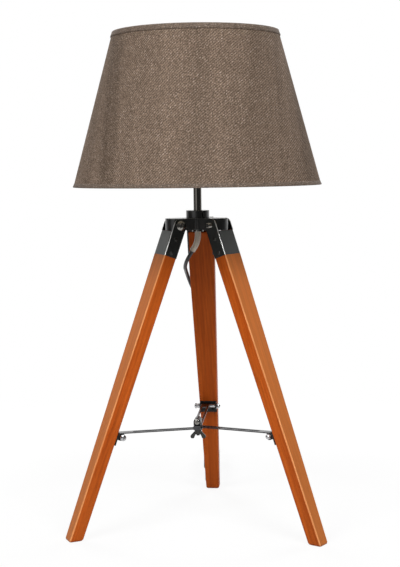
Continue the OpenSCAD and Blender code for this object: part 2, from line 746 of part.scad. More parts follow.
// Flat slotted strap that is rolled into an eye round its bolt and slopes down to the crossing. The
// rear one ends in a tab that is bent down.
module strap(way) color(dark_chrome) {
    inner = strap_reach(way) / cos(strap_slope) + 0.5;
    tab_x = strap_reach(way) + tab_back + tab_t;
    rotate([0, 0, way[0]]) translate([bolt_r(way[1]), strap_shift(way), bolt_z(way[1])])
        rotate([0, -strap_slope, 0]) difference() {
            union() {
                pin_y(2 * eye_r, -strap_w / 2, strap_w / 2);
                translate([-inner, -strap_w / 2, plate_up - strap_t / 2]) cube([inner, strap_w, strap_t]);
                translate([-inner, 0, plate_up - strap_t / 2]) cylinder(d = strap_w, h = strap_t);
                if (way == REAR) {
                    translate([-tab_x, -tab_w / 2, plate_up - strap_t / 2])
                        cube([tab_x - inner, tab_w, strap_t]);
                    translate([-tab_x, -tab_w / 2, plate_up + strap_t / 2 - tab_h])
                        cube([tab_t, tab_w, tab_h]);
                }
            }
            pin_y(clip_bolt_d + 2 * pin_play, -strap_w, strap_w);
            translate([-inner, -slot_w / 2, plate_up - strap_t])
                cube([inner - slot_margin - slot_w / 2, slot_w, 2 * strap_t]);
            for (x = [-inner, -slot_margin - slot_w / 2]) translate([x, 0, plate_up - strap_t])
                cylinder(d = slot_w, h = 2 * strap_t);
        }
}

module at_cross(z) {
    translate([-cross_shift, 0, z]) children();
}

// Block with a rounded top that the straps are clamped against
module clamp_saddle() color(black) {
    round_r = saddle_w / 2;
    difference() {
        at_cross(saddle_z) translate([0, saddle_y + saddle_d, 0]) rotate([90, 0, 0])
            linear_extrude(saddle_d) {
                translate([-round_r, 0]) square([saddle_w, saddle_h - round_r]);
                intersection() {
                    translate([0, saddle_h - round_r]) circle(r = round_r);
                    translate([-round_r, 0]) square([saddle_w, saddle_h]);
                }
            }
        at_cross(cross_screw_z) pin_y(3 + 2 * seat_gap, saddle_y - 1, saddle_y + 7);
        at_cross(saddle_z - 1) cylinder(d = clamp_bolt_d + 2 * seat_gap, h = 1 + saddle_h * 0.4 - 2);
    }
}

module cross_screw() color(steel) {
    at_cross(cross_screw_z) {
        pin_y(3, saddle_y - eps, saddle_y + 6);
        translate([0, saddle_y, 0]) rotate([90, 0, 0]) screw_head(6.4, 2.4);
    }
}

module clamp_bolt() color(steel) {
    low = wing_top - wing_boss_h - 1.6;
    at_cross(low) cylinder(d = clamp_bolt_d, h = saddle_z + saddle_h * 0.4 - 2 - low);
}

module clamp_washer() color(steel) {
    at_cross(washer_top - washer_t) difference() {
        cylinder(d = 10, h = washer_t);
        translate([0, 0, -1]) cylinder(d = clamp_bolt_d + 2 * seat_gap, h = washer_t + 2);
    }
}

module wing_nut() color(steel) {
    tip_r = 2.6;
    tip_x = wing_span / 2 - tip_r;
    at_cross(wing_top - wing_boss_h) difference() {
        union() {
            cylinder(d1 = wing_boss_d, d2 = wing_boss_d + 1, h = wing_boss_h);
            for (side = [0, 1]) mirror([side, 0, 0]) rotate([90, 0, 0])
                linear_extrude(wing_t, center = true) {
                    polygon([[0, wing_boss_h - 1], [wing_boss_d / 2, wing_boss_h - 1],
                        [tip_x + tip_r * 0.7, tip_r * 0.7 - 3], [tip_x - tip_r * 0.7, -tip_r * 0.7 - 3],
                        [wing_boss_d / 2 - 1.4, 0.4], [0, 0.4]]);
                    translate([tip_x, -3]) circle(r = tip_r);
                }
        }
        translate([0, 0, -8]) cylinder(d = clamp_bolt_d + 2 * pin_play, h = wing_boss_h + 9);
    }
}

// ---- Cord

module cord() color(black) tube(smooth(ROUTE), cord_d / 2, cord_d / 2, 10);

module cord_hank() color(black) tube(HANK_PATH, cord_d / 2, cord_d / 2, 6);

module cord_tail() color(black) tube(smooth(TAIL), cord_d / 2, cord_d / 2, 10);

// Places a piece at the plug's cord end, with +Y along the plug
module at_plug() {
    translate(plug_at) rotate([0, 0, atan2(hank_u[1], hank_u[0]) - 90]) children();
}

module hank_tie() color(black) {
    wide = hank_span + cord_d + 0.8;
    low = hank_from[2] - cord_d / 2 + hank_rise - 0.4;
    high = hank_from[2] + 2 * hank_r - hank_dip + cord_d / 2 + 0.4;
    band = 1;
    translate(hank_from + hank_run / 2 * hank_u - [0, 0, hank_from[2]])
        rotate([0, 0, atan2(hank_u[1], hank_u[0]) - 90]) rotate([90, 0, 0])
        linear_extrude(5, center = true) difference() {
            translate([-wide / 2 - band, low - band]) square([wide + 2 * band, high - low + 2 * band]);
            translate([-wide / 2, low]) square([wide, high - low]);
        }
}

// Moulded body with a tapered strain relief
module plug_body() color(black) {
    at_plug() {
        rotate([-90, 0, 0]) cylinder(d1 = cord_d + 2, d2 = cord_d + 5, h = relief_len + eps);
        hull() {
            for (x = [-1, 1]) translate([x * (plug_w / 2 - 7), relief_len, 0]) rotate([-90, 0, 0])
                cylinder(d = 9, h = 1, $fn = 32);
            for (x = [-1, 1]) translate([x * (plug_w / 2 - plug_t / 2), relief_len + 9, 0])
                rotate([-90, 0, 0]) cylinder(d = plug_t, h = plug_len - 9, $fn = 32);
        }
    }
}

module plug_blades() color(brass) {
    at_plug() for (x = [-1, 1]) translate([x * blade_pitch / 2 - blade_t / 2,
        relief_len + plug_len, -blade_w / 2]) cube([blade_t, blade_len, blade_w]);
}

// ---- Nodes

hub_block();
hub_collar();
base_disc();
rod();
lead_inside();
cord_sleeve();
holder_cap();
holder_body();
holder_thread();
holder_contact();
shade_nut();
switch_knob();
bulb_base();
bulb_globe();
shade_fabric();
shade_trim_top();
shade_trim_bottom();
shade_wire_top();
shade_wire_bottom();
shade_spokes();
fitter_ring();
leg(REAR);  // leg_rear
leg(LEFT);  // leg_left
leg(RIGHT);  // leg_right
bracket(REAR);  // bracket_rear
bracket(LEFT);  // bracket_left
bracket(RIGHT);  // bracket_right
bracket_nails(REAR);  // bracket_nails_rear
bracket_nails(LEFT);  // bracket_nails_left
bracket_nails(RIGHT);  // bracket_nails_right
hinge_bolt(REAR);  // hinge_bolt_rear
hinge_bolt(LEFT);  // hinge_bolt_left
hinge_bolt(RIGHT);  // hinge_bolt_right
clip(REAR);  // clip_rear
clip(LEFT);  // clip_left
clip(RIGHT);  // clip_right
clip_screws(REAR);  // clip_screws_rear
clip_screws(LEFT);  // clip_screws_left
clip_screws(RIGHT);  // clip_screws_right
clip_bolt(REAR);  // clip_bolt_rear
clip_bolt(LEFT);  // clip_bolt_left
clip_bolt(RIGHT);  // clip_bolt_right
clip_nut(REAR);  // clip_nut_rear
clip_nut(LEFT);  // clip_nut_left
clip_nut(RIGHT);  // clip_nut_right
strap(REAR);  // strap_rear
strap(LEFT);  // strap_left
strap(RIGHT);  // strap_right
clamp_saddle();
cross_screw();
clamp_bolt();
clamp_washer();
wing_nut();
cord();
cord_hank();
cord_tail();
hank_tie();
plug_body();
plug_blades();
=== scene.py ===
"""Dresses the tripod table lamp: linen shade, stained wooden legs, black and plated metal, and its cord."""

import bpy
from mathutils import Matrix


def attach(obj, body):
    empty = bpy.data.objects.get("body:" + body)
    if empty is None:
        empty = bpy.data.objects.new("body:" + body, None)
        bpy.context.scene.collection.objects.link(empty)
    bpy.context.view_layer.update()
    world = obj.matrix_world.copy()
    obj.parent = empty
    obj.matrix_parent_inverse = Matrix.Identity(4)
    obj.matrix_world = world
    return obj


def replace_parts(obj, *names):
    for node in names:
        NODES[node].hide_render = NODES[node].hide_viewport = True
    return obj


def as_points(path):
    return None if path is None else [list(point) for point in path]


bl_info = {
    "name": "Tripod Table Lamp",
    "version": (1, 0, 0),
    "blender": (4, 5, 0),
    "location": "View3D > Sidebar > Lamp",
    "description": "Builds the pieces and finishes of a table lamp on three folding wooden legs",
    "category": "Object",
}

from math import atan2, copysign, cos, dist, hypot, pi, radians, sin

import bmesh
import bpy
from bpy.props import FloatProperty, FloatVectorProperty, PointerProperty
from mathutils import Matrix, Vector, noise

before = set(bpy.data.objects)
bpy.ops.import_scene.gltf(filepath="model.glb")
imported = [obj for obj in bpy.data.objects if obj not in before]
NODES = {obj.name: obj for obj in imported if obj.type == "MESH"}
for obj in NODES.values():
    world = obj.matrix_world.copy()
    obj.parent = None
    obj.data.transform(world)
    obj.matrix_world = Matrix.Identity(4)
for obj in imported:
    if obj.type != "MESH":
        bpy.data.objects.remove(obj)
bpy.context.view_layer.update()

MM = 0.001

# Camera: its place, and its turns in radians
EYE = (0.14778, -1.48530, 0.44147)
HEADING = 0.098
TILT = 0.096
ROLL = -0.013

# Legs: the direction that each stands in, in degrees, and their shape, as in the part's source
LEGS = {"rear": 90, "left": 210, "right": 330}
SPLAY = radians(20.3)
HINGE_R = 30 * MM
HINGE_Z = 370 * MM
LEG_T = 16 * MM
LEG_HINGE_W = 34.2 * MM
LEG_FOOT_W = 17.5 * MM
# A leg's width where its lengthwise coordinate is 0, and what it gains per metre upwards
LEG_WIDE_AT_0 = 19.96 * MM
LEG_TAPER = (LEG_HINGE_W - LEG_FOOT_W) / HINGE_Z * cos(SPLAY)
# Distance from the lamp's axis to a leg's outer face, square to the leg
OUTER_FACE = HINGE_R * cos(SPLAY) + HINGE_Z * sin(SPLAY) + LEG_T / 2
# Distances past a leg's faces over which its painted sheen and its painted corner highlights fade in
OUTER_SHEEN_DEPTH = (-0.9 * MM, -0.2 * MM)
CORNER_HIGHLIGHT_DEPTH = (-1.6 * MM, -1.1 * MM)
# Centre of a bracket's rounded bend: distance out of the leg's middle, and to the side of it
BEND_AT = (6.2 * MM, 14.46 * MM)

# Shade, as in the part's source: outer radii of the cloth at its lower and upper edges
SHADE_Z = 417 * MM
SHADE_H = 183 * MM
CLOTH_LOW_R = 149.3 * MM
CLOTH_TOP_R = 99.3 * MM
CLOTH_T = 1.4 * MM
BINDING_T = 0.7 * MM
# Gap that keeps a piece of cloth off the one under it
CLOTH_GAP = 0.02 * MM
SHADE_ROWS = 24

# Cord and plug, as in the part's source, in millimetres
CORD_D = 4.6
HANK_RUN = 92
HANK_R = 18.4
HANK_LOOPS = 3
HANK_PITCH = CORD_D + 0.5
HANK_RISE = 4
HANK_DIP = 10
PLUG_T = 15
PLUG_FACE = 38
BLADE_PITCH = 12.7
BLADE_LEN = 16.5
BLADE_H = 6.34
BLADE_T = 1.5
BLADE_HOLE_R = 1.5
EXIT_Z = 361.6
SLEEVE_LEN = 24
SLEEVE_D = 7.4
SLEEVE_BORE_R = 2.45
SLEEVE_TAPER = 0.2
TAIL_LEAD = 5
TAIL_RUN = 34


# ---- Settings


def colour(name, value, text):
    return FloatVectorProperty(
        name=name, description=text, default=value, size=3, subtype="COLOR", min=0, max=1
    )


def number(name, value, low, high, text, **kind):
    return FloatProperty(name=name, description=text, default=value, min=low, max=high, **kind)


class ClothSettings(bpy.types.PropertyGroup):
    warp: colour("Warp", (0.216, 0.158, 0.118), "Colour of the threads that run down the shade")
    weft: colour("Weft", (0.106, 0.074, 0.053), "Colour of the threads that run round the shade")
    binding: colour("Binding", (0.105, 0.074, 0.053), "Colour of the bands at the shade's edges")
    liner: colour("Liner", (0.66, 0.62, 0.56), "Colour of the shade's inner face")
    thread: number("Thread", 0.88 * MM, 0.3 * MM, 2 * MM, "Distance between two threads", unit="LENGTH")
    # Streaks: random tone, and painted bands of light and shade
    streaks: number("Streaks", 0.23, 0, 0.5, "Strength of the soft streaks down the cloth", subtype="FACTOR")


class WoodSettings(bpy.types.PropertyGroup):
    stain: colour("Stain", (0.385, 0.064, 0.006), "Main colour of the stained wood")
    late_wood: colour("Late wood", (0.235, 0.036, 0.004), "Colour of the darker grain lines")
    early_wood: colour("Early wood", (0.535, 0.112, 0.014), "Colour of the paler grain")
    # Painted sheen: the colour that the outer faces fade towards stands in for light glancing off them
    outer_sheen: colour("Outer face", (0.62, 0.29, 0.085), "Colour that the outward faces fade towards")
    # Painted highlight: the pale colour along the legs' corners stands in for light glinting on the rounded
    # edges
    wear_and_highlight: colour("Worn edge", (0.85, 0.38, 0.15), "Colour of the wood along its rubbed edges")
    varnish: number("Varnish", 0.04, 0, 1, "Strength of the satin varnish", subtype="FACTOR")


class MetalSettings(bpy.types.PropertyGroup):
    paint: colour("Paint", (0.016, 0.016, 0.016), "Colour of the black paint")
    sheet: colour("Sheet", (0.056, 0.058, 0.055), "Colour of the legs' sheet-metal brackets")
    stem: colour("Stem", (0.165, 0.154, 0.140), "Colour of the stem's dark chrome")
    strap: colour("Strap", (0.070, 0.070, 0.073), "Colour of the straps' black chrome")
    plated: colour("Plated", (0.50, 0.50, 0.51), "Colour of the plated bolts")
    bolts: colour("Dark bolts", (0.27, 0.26, 0.24), "Colour of the hinge bolts")
    wing: colour("Wing nut", (0.050, 0.050, 0.047), "Colour of the wing nut and its bolt")
    brass: colour("Brass", (0.60, 0.42, 0.16), "Colour of the brass parts")


class CordSettings(bpy.types.PropertyGroup):
    jacket: colour("Jacket", (0.009, 0.009, 0.010), "Colour of the cord's jacket and of the plug")
    sleeve: colour("Sleeve", (0.90, 0.89, 0.74), "Colour of the translucent sleeve")
    diameter: number("Diameter", CORD_D * MM, 4 * MM, 5 * MM, "Diameter of the mains cord", unit="LENGTH")


class StudioSettings(bpy.types.PropertyGroup):
    paper: colour("Paper", (0.50, 0.50, 0.50), "Colour of the floor under the lamp")
    lens: number("Lens", 78.04, 20, 200, "Focal length of the camera", unit="CAMERA")
    ambient: number("Ambient", 0.08, 0, 2, "Strength of the light from all sides")
    key: number("Key light", 49, 0, 200, "Power of the soft light on the left, in watts")
    fill: number("Fill light", 54, 0, 200, "Power of the soft light on the right, in watts")
    rim: number("Rim lights", 26, 0, 100, "Power of each light behind the lamp, in watts")


# ---- Node helpers


class Wire:
    """A node's output. Arithmetic on it adds Math nodes to its graph."""

    def __init__(self, graph, socket):
        self.graph = graph
        self.socket = socket

    def math(self, operation, *others):
        return self.graph.add("ShaderNodeMath", dict(enumerate((self, *others))), operation=operation)

    def __add__(self, other):
        return self.math("ADD", other)

    __radd__ = __add__

    def __sub__(self, other):
        return self.math("SUBTRACT", other)

    def __rsub__(self, other):
        return (self * -1) + other

    def __mul__(self, other):
        return self.math("MULTIPLY", other)

    __rmul__ = __mul__

    def __truediv__(self, other):
        return self.math("DIVIDE", other)

    def __pow__(self, other):
        return self.math("POWER", other)

    def sin(self):
        return self.math("SINE")

    def floor(self):
        return self.math("FLOOR")

    def abs(self):
        return self.math("ABSOLUTE")

    def wrap(self, period):
        return self.math("FLOORED_MODULO", period)

    def above(self, limit):
        return self.math("GREATER_THAN", limit)

    def larger(self, other):
        return self.math("MAXIMUM", other)

    def span(self, low, high, to_low=0.0, to_high=1.0):
        """This value's range from low to high, stretched to another range and clamped."""
        return self.graph.add(
            "ShaderNodeMapRange",
            {"Value": self, "From Min": low, "From Max": high, "To Min": to_low, "To Max": to_high},
        )


def plug(value, socket):
    """Links a Wire to a socket, or sets the socket to a plain value."""
    if isinstance(value, Wire):
        value.graph.tree.links.new(value.socket, socket)
    elif hasattr(value, "__len__"):
        alpha = (1.0,) if socket.type == "RGBA" and len(value) == 3 else ()
        socket.default_value = (*value, *alpha)
    else:
        socket.default_value = value


class Graph:
    """A node tree under construction."""

    def __init__(self, tree):
        self.tree = tree

    def add(self, kind, inputs=None, output=0, **settings):
        """Adds a node, with its settings first and then its sockets' values or links. Gives one output."""
        made = self.tree.nodes.new(kind)
        for name, value in settings.items():
            setattr(made, name, value)
        for name, value in (inputs or {}).items():
            plug(value, made.inputs[name])
        return Wire(self, made.outputs[output])

    def place(self, *turns):
        """Object coordinates, turned by each Euler angle in turn."""
        at = self.add("ShaderNodeTexCoord", output="Object")
        for turn in turns:
            at = self.add("ShaderNodeMapping", {"Vector": at, "Rotation": turn})
        return at

    def pattern(self):
        """The piece's own UV map, in metres along its surface."""
        return self.add("ShaderNodeUVMap", uv_map="UVMap")

    def split(self, at):
        """The three coordinates of a vector."""
        node = self.add("ShaderNodeSeparateXYZ", {0: at}).socket.node
        return [Wire(self, socket) for socket in node.outputs]

    def join(self, x, y, z=0.0):
        return self.add("ShaderNodeCombineXYZ", {"X": x, "Y": y, "Z": z})

    def cloud(self, at, scale, detail, roughness, warp=0.0, shift=(0, 0, 0)):
        """Noise at a scale that is one number, or one for each axis."""
        if isinstance(scale, tuple):
            at = self.add("ShaderNodeMapping", {"Vector": at, "Scale": scale, "Location": shift})
            scale = 1
        return self.add(
            "ShaderNodeTexNoise",
            {"Vector": at, "Scale": scale, "Detail": detail, "Roughness": roughness, "Distortion": warp},
        )

    def blend(self, share, a, b, kind="MIX"):
        """Colour a, with a share of colour b."""
        inputs = {"Factor": share, 6: a, 7: b}
        return self.add("ShaderNodeMix", inputs, 2, data_type="RGBA", blend_type=kind)

    def shade(self, base, amount):
        """The colour base, made brighter or darker by a factor."""
        return self.add("ShaderNodeVectorMath", {0: base, "Scale": amount}, operation="SCALE")

    def bump(self, height, depth, strength, normal=None):
        inputs = {"Height": height, "Distance": depth, "Strength": strength}
        if normal is not None:
            inputs["Normal"] = normal
        return self.add("ShaderNodeBump", inputs)

    def soft_edges(self, radius):
        return self.add("ShaderNodeBevel", {"Radius": radius}, samples=4)

    def edge_mask(self, edges):
        """1 along the edges that soft_edges rounds, and 0 on flat faces."""
        flat = self.add("ShaderNodeNewGeometry", output="Normal")
        turned = self.add("ShaderNodeVectorMath", {0: flat, 1: edges}, "Value", operation="DOT_PRODUCT")
        return turned.span(0.93, 0.985, 1, 0)

    def rays(self, kind):
        """1 for rays of one kind: Camera, Glossy or Transmission."""
        return self.add("ShaderNodeLightPath", output=f"Is {kind} Ray")


class Finish(Graph):
    """A material under construction, with a Principled shader at its end."""

    def __init__(self, name):
        self.material = bpy.data.materials.new(name)
        self.material.use_nodes = True
        super().__init__(self.material.node_tree)
        self.shader = self.tree.nodes["Principled BSDF"]

    def set(self, **values):
        for name, value in values.items():
            plug(value, self.shader.inputs[name.replace("_", " ")])


def tinted(tone, factor):
    return tuple(c * factor for c in tone)


def paint_node(finish, *names):
    """Gives CAD nodes a finish in every material slot."""
    for name in names:
        slots = NODES[name].data.materials
        if len(slots) == 0:
            slots.append(finish.material)
        for i in range(len(slots)):
            slots[i] = finish.material


# ---- Finishes


def wood_finish(azimuth, settings):
    """Fine straight grain along the leg, under a satin varnish, with painted sheen on the outer faces,
    painted highlight lines along the corners and painted shade towards the foot.
    """
    f = Finish(f"stained_wood_{azimuth}")
    # x goes out through the leg's outer face, y across the leg and z up along it
    at = f.place((0, 0, -radians(azimuth)), (0, SPLAY, 0))
    x, y, z = f.split(at)
    drift = f.cloud(at, (9, 9, 2.2), 2, 0.5)
    rings = ((x * 0.6 + y + drift * 0.045) * 1500).sin().span(-1, 1)
    fibres = f.cloud(at, (900, 900, 16), 4, 0.6)
    pores = f.cloud(at, (2400, 2400, 60), 2, 0.5).span(0.58, 0.74)
    broad = f.cloud(at, (46, 46, 3.2), 3, 0.55, warp=0.6)
    level = f.cloud(at, (260, 260, 5), 3, 0.6).span(0.3, 0.7, 0.84, 1.16)
    base = f.blend(broad.span(0.34, 0.66), settings.stain, settings.early_wood)
    base = f.blend(rings.span(0.2, 1.0, 0, 0.38) * fibres.span(0.3, 0.7, 0.3, 1), base, settings.late_wood)
    base = f.blend(fibres.span(0.40, 0.70, 0, 0.55), base, settings.early_wood)
    base = f.blend(pores * 0.7, base, settings.late_wood)
    # Random tone, and painted shade that darkens the wood towards the foot
    base = f.shade(base, level * z.span(-0.06, 0.14, 0.86, 1.0))
    # How far a point lies past the outer face, and past the two sides
    out = x - OUTER_FACE
    aside = y.abs() - (z * (LEG_TAPER / 2) + LEG_WIDE_AT_0 / 2)
    # Painted sheen: the outer face fades towards a paler colour, as if light glanced off it
    base = f.blend(out.span(*OUTER_SHEEN_DEPTH, 0, 0.30), base, settings.outer_sheen)
    # Painted highlight: pale lines along the outer corners, where light glints on the rounded edges
    corner = out.span(*CORNER_HIGHLIGHT_DEPTH) * aside.span(*CORNER_HIGHLIGHT_DEPTH)
    base = f.blend(corner * fibres.span(0.3, 0.6, 0.3, 0.7), base, settings.wear_and_highlight)
    grain = fibres * 0.6 - pores * 0.8 + rings * 0.25
    f.set(
        Base_Color=base,
        Roughness=fibres.span(0.2, 0.8, 0.36, 0.54),
        Coat_Weight=settings.varnish,
        Coat_Roughness=0.28,
        Specular_IOR_Level=0.06,
        Normal=f.bump(grain, 0.08 * MM, 0.5, f.soft_edges(0.9 * MM)),
    )
    return f


def woven(f, at, pitch, warp, weft):
    """A twill of slubbed threads: its colour, with painted shade between the threads and painted glints on
    the warp, and its height, from coordinates in metres.
    """
    u, v, _ = f.split(at)
    u, v = u / pitch, v / pitch
    column, row = u.floor(), v.floor()
    # 1 where the warp lies on top: two threads over, two under, and one further on in each row
    over = 1 - (column - row).wrap(4).above(1.5)
    across = ((u - column) * pi).sin()
    along = ((v - row) * pi).sin()
    height = over * (across * 0.8 + along * 0.35) + (1 - over) * (along * 0.8 + across * 0.35)
    slub_down = f.cloud(f.join(column * 7.31, v * 0.055), 1, 2, 0.7)
    slub_round = f.cloud(f.join(u * 0.055, row * 5.77), 1, 2, 0.7)
    lit_warp = f.shade(warp, slub_down.span(0.25, 0.75, 0.78, 1.24))
    lit_weft = f.shade(weft, slub_round.span(0.25, 0.75, 0.74, 1.32))
    tone = f.blend(over * 0.72 + 0.14, lit_weft, lit_warp)
    speck = f.add("ShaderNodeTexWhiteNoise", {"Vector": f.join(column, row)}, noise_dimensions="2D")
    knots = f.cloud(at, (700, 700, 1), 1, 0.8).span(0.34, 0.66, 0.72, 1.28)
    # Painted shade: the colour darkens where the thread surface sinks, between the threads
    tone = f.shade(tone, height.span(0.1, 1.0, 0.66, 1.12) * speck.span(0, 1, 0.58, 1.42) * knots)
    # Painted glint: pale specks on raised warp threads, standing in for light glancing off fibres
    painted_glint = speck.span(0.80, 0.86) * over * slub_down.span(0.42, 0.62)
    tone = f.blend(painted_glint * 0.42, tone, tuple(0.22 + 1.35 * c for c in warp))
    return tone, height + slub_down * 0.5 + slub_round * 0.5 + speck * 0.5


def cloth_finish(settings):
    """Taupe linen with fine diagonals and soft streaks, which are random tone and painted bands of light and
    shade.
    """
    f = Finish("shade_linen")
    at = f.pattern()
    tone, height = woven(f, at, settings.thread, settings.warp, settings.weft)
    # Soft streaks down the cloth: random tone, made strong and shifted so that pale and dark bands stand in
    # for light and shade
    streak_and_light_band = f.cloud(at, (26, 0.9, 1), 3, 0.6, shift=(7.4, 0, 0))
    blotch = f.cloud(at, (60, 60, 1), 3, 0.65)
    level = streak_and_light_band.span(0.3, 0.7, 1 - settings.streaks, 1 + settings.streaks)
    f.set(
        Base_Color=f.shade(tone, level * blotch.span(0.25, 0.75, 0.93, 1.07)),
        Roughness=height.span(0.3, 1.6, 0.8, 0.62),
        Normal=f.bump(height, 0.16 * MM, 0.7),
        Specular_IOR_Level=0.02,
        Sheen_Weight=0.01,
        Sheen_Roughness=0.45,
        Sheen_Tint=(0.9, 0.8, 0.72),
    )
    return f


def liner_finish(settings):
    """The shade's stiff inner face, with the cloth's threads just showing."""
    f = Finish("shade_liner")
    tone, height = woven(f, f.pattern(), settings.thread, (1.04, 1.03, 1.0), (0.93, 0.92, 0.9))
    tone = f.blend(1.0, tone, settings.liner, "MULTIPLY")
    f.set(Base_Color=tone, Roughness=0.62, Normal=f.bump(height, 0.03 * MM, 0.4))
    return f


def binding_finish(settings):
    """The folded strip of the same cloth, with its threads at a slant."""
    f = Finish("shade_binding")
    at = f.add("ShaderNodeMapping", {"Vector": f.pattern(), "Rotation": (0, 0, 0.62)})
    tone, height = woven(f, at, settings.thread, tinted(settings.binding, 1.45), settings.binding)
    crease_and_shade = f.cloud(f.pattern(), (70, 160, 1), 3, 0.6)
    # Creases: the colour darkens where the bump sinks, painted shade in the crease hollows
    tone = f.shade(tone, crease_and_shade.span(0.3, 0.7, 0.84, 1.14))
    f.set(Base_Color=tone, Roughness=0.8, Normal=f.bump(height + crease_and_shade * 2, 0.16 * MM, 0.7))
    return f


def painted_finish(name, tone, rough=0.34, edge_share=1.0, edge=0.8 * MM, gloss=0.5):
    """Black paint with a fine orange peel, rubbed a little at the edges; the rubbed edges are wear and
    painted highlight both.
    """
    f = Finish(name)
    at = f.place()
    peel = f.cloud(at, 900, 2, 0.5)
    dust = f.cloud(at, 120, 4, 0.6)
    edges = f.soft_edges(edge)
    # Rubbed paint along the edges, grey and partly metallic: wear, and painted highlight along the edges as
    # well
    wear_and_highlight = f.edge_mask(edges) * dust.span(0.35, 0.6, 0.25, 1) * edge_share
    paint = f.blend(dust.span(0.5, 0.8, 0, 0.25), tone, tinted(tone, 2.4))
    f.set(
        Base_Color=f.blend(wear_and_highlight, paint, (0.22, 0.22, 0.21)),
        Metallic=wear_and_highlight * 0.5,
        Roughness=dust.span(0.25, 0.75, rough - 0.06, rough + 0.1),
        Specular_IOR_Level=gloss,
        Coat_Weight=gloss,
        Coat_Roughness=0.16,
        Normal=f.bump(peel, 0.02 * MM, 0.35, edges),
    )
    return f


def sheet_finish(azimuth, settings):
    """Satin sheet steel with a light rolling grain, and a painted highlight along the two bends."""
    f = Finish(f"bracket_steel_{azimuth}")
    at = f.place((0, 0, -radians(azimuth)))
    x, y, z = f.split(at)
    out = (x - HINGE_R) * cos(SPLAY) + (z - HINGE_Z) * sin(SPLAY)
    past_web, past_ear = out - BEND_AT[0], y.abs() - BEND_AT[1]
    bend = (past_web - past_ear).abs().span(0.35 * MM, 0.85 * MM, 1, 0) * past_web.span(0.6 * MM, 1.0 * MM)
    grain = f.cloud(at, (500, 500, 4000), 2, 0.5)
    cloudy = f.cloud(at, 70, 4, 0.6)
    tone = f.blend(cloudy.span(0.35, 0.7, 0, 0.5), settings.sheet, tinted(settings.sheet, 1.35))
    # Painted highlight: a near-white line along the bends, where light would glint
    bend_highlight = bend * cloudy.span(0.30, 0.6, 0.55, 1.0)
    f.set(
        Base_Color=f.blend(bend_highlight, tone, (0.90, 0.90, 0.88)),
        Metallic=0.92,
        Roughness=cloudy.span(0.3, 0.7, 0.30, 0.44) - bend_highlight * 0.08,
        Normal=f.bump(grain, 0.012 * MM, 0.4, f.soft_edges(0.6 * MM)),
    )
    return f


def plated_finish(name, tone, rough, edge=0.35 * MM):
    """Polished plating with fine scratches and fingermarks."""
    f = Finish(name)
    at = f.place()
    marks = f.cloud(at, 160, 4, 0.62)
    scratch = f.cloud(at, (2600, 2600, 260), 2, 0.6)
    f.set(
        Base_Color=f.blend(marks.span(0.4, 0.75, 0, 0.5), tone, tinted(tone, 0.8)),
        Metallic=1.0,
        Roughness=marks.span(0.25, 0.75, rough * 0.75, rough * 1.5),
        Normal=f.bump(scratch, 0.006 * MM, 0.3, f.soft_edges(edge)),
    )
    return f


def moulded_finish(name, tone, rough):
    """Moulded plastic or rubber with a fine spark-eroded grain."""
    f = Finish(name)
    at = f.place()
    grain = f.cloud(at, 1500, 2, 0.6)
    cloudy = f.cloud(at, 90, 3, 0.6)
    f.set(
        Base_Color=f.blend(cloudy.span(0.4, 0.8, 0, 0.3), tone, tinted(tone, 1.9)),
        Roughness=cloudy.span(0.3, 0.7, rough - 0.07, rough + 0.09),
        Normal=f.bump(grain, 0.02 * MM, 0.4),
    )
    return f


def sleeve_finish(settings):
    """Thin translucent sleeve that lets the black cord show through."""
    f = Finish("clear_sleeve")
    _, v, _ = f.split(f.pattern())
    ribs = (v * 2600).sin().span(-1, 1)
    f.set(
        Base_Color=f.blend(ribs * 0.3, settings.sleeve, tinted(settings.sleeve, 0.8)),
        Roughness=0.3,
        Alpha=0.86,
        Coat_Weight=0.3,
        Normal=f.bump(ribs, 0.04 * MM, 0.4),
    )
    return f


def bulb_finish():
    """White coated glass."""
    f = Finish("bulb_glass")
    cloudy = f.cloud(f.place(), 60, 3, 0.5)
    f.set(
        Base_Color=f.blend(cloudy.span(0.4, 0.7), (0.83, 0.83, 0.80), (0.87, 0.87, 0.85)),
        Roughness=0.14,
        Coat_Weight=0.5,
        Coat_Roughness=0.04,
    )
    return f


# ---- Mesh helpers


def linked(name, data):
    """An object in the scene, made from its data."""
    made = bpy.data.objects.new(name, data)
    bpy.context.scene.collection.objects.link(made)
    return made


def new_piece(name, verts, faces, uvs=None):
    """A smooth mesh object from points in metres; uvs holds one pair for each corner of each face."""
    mesh = bpy.data.meshes.new(name)
    mesh.from_pydata([tuple(v) for v in verts], [], faces)
    if uvs:
        layer = mesh.uv_layers.new(name="UVMap")
        for loop, pair in zip(layer.data, uvs):
            loop.uv = pair
    for p in mesh.polygons:
        p.use_smooth = True
    mesh.update()
    return linked(name, mesh)


def dress(piece, *finishes):
    for f in finishes:
        piece.data.materials.append(f.material)
    return piece


def crisp(piece, angle):
    """Keeps corners sharper than the angle, in degrees."""
    piece.data.set_sharp_from_angle(angle=radians(angle))
    return piece


def outwards(piece):
    """Merges doubles and turns all faces outwards."""
    b = bmesh.new()
    b.from_mesh(piece.data)
    bmesh.ops.remove_doubles(b, verts=b.verts, dist=1e-7)
    bmesh.ops.recalc_face_normals(b, faces=b.faces)
    b.to_mesh(piece.data)
    b.free()
    return piece


def arc(x, y, r, start, end, steps):
    """Points of an arc between two angles in degrees, with both ends."""
    angles = [radians(start + (end - start) * i / steps) for i in range(steps + 1)]
    return [(x + r * cos(a), y + r * sin(a)) for a in angles]


def lengths(points, closed=False):
    """The way run at each point of a line, and back at the first if it's closed."""
    run = [0.0]
    for a, b in zip(points, points[1:] + points[:1] if closed else points[1:]):
        run.append(run[-1] + dist(a, b))
    return run


def unrolled(r, z, turn, cone):
    """Where a cone's point lies on its flat sheet. cone is its apex's height and its half angle's sine."""
    apex, sine = cone
    reach = hypot(r, apex - z)
    return reach * sin(turn * sine), -reach * cos(turn * sine)


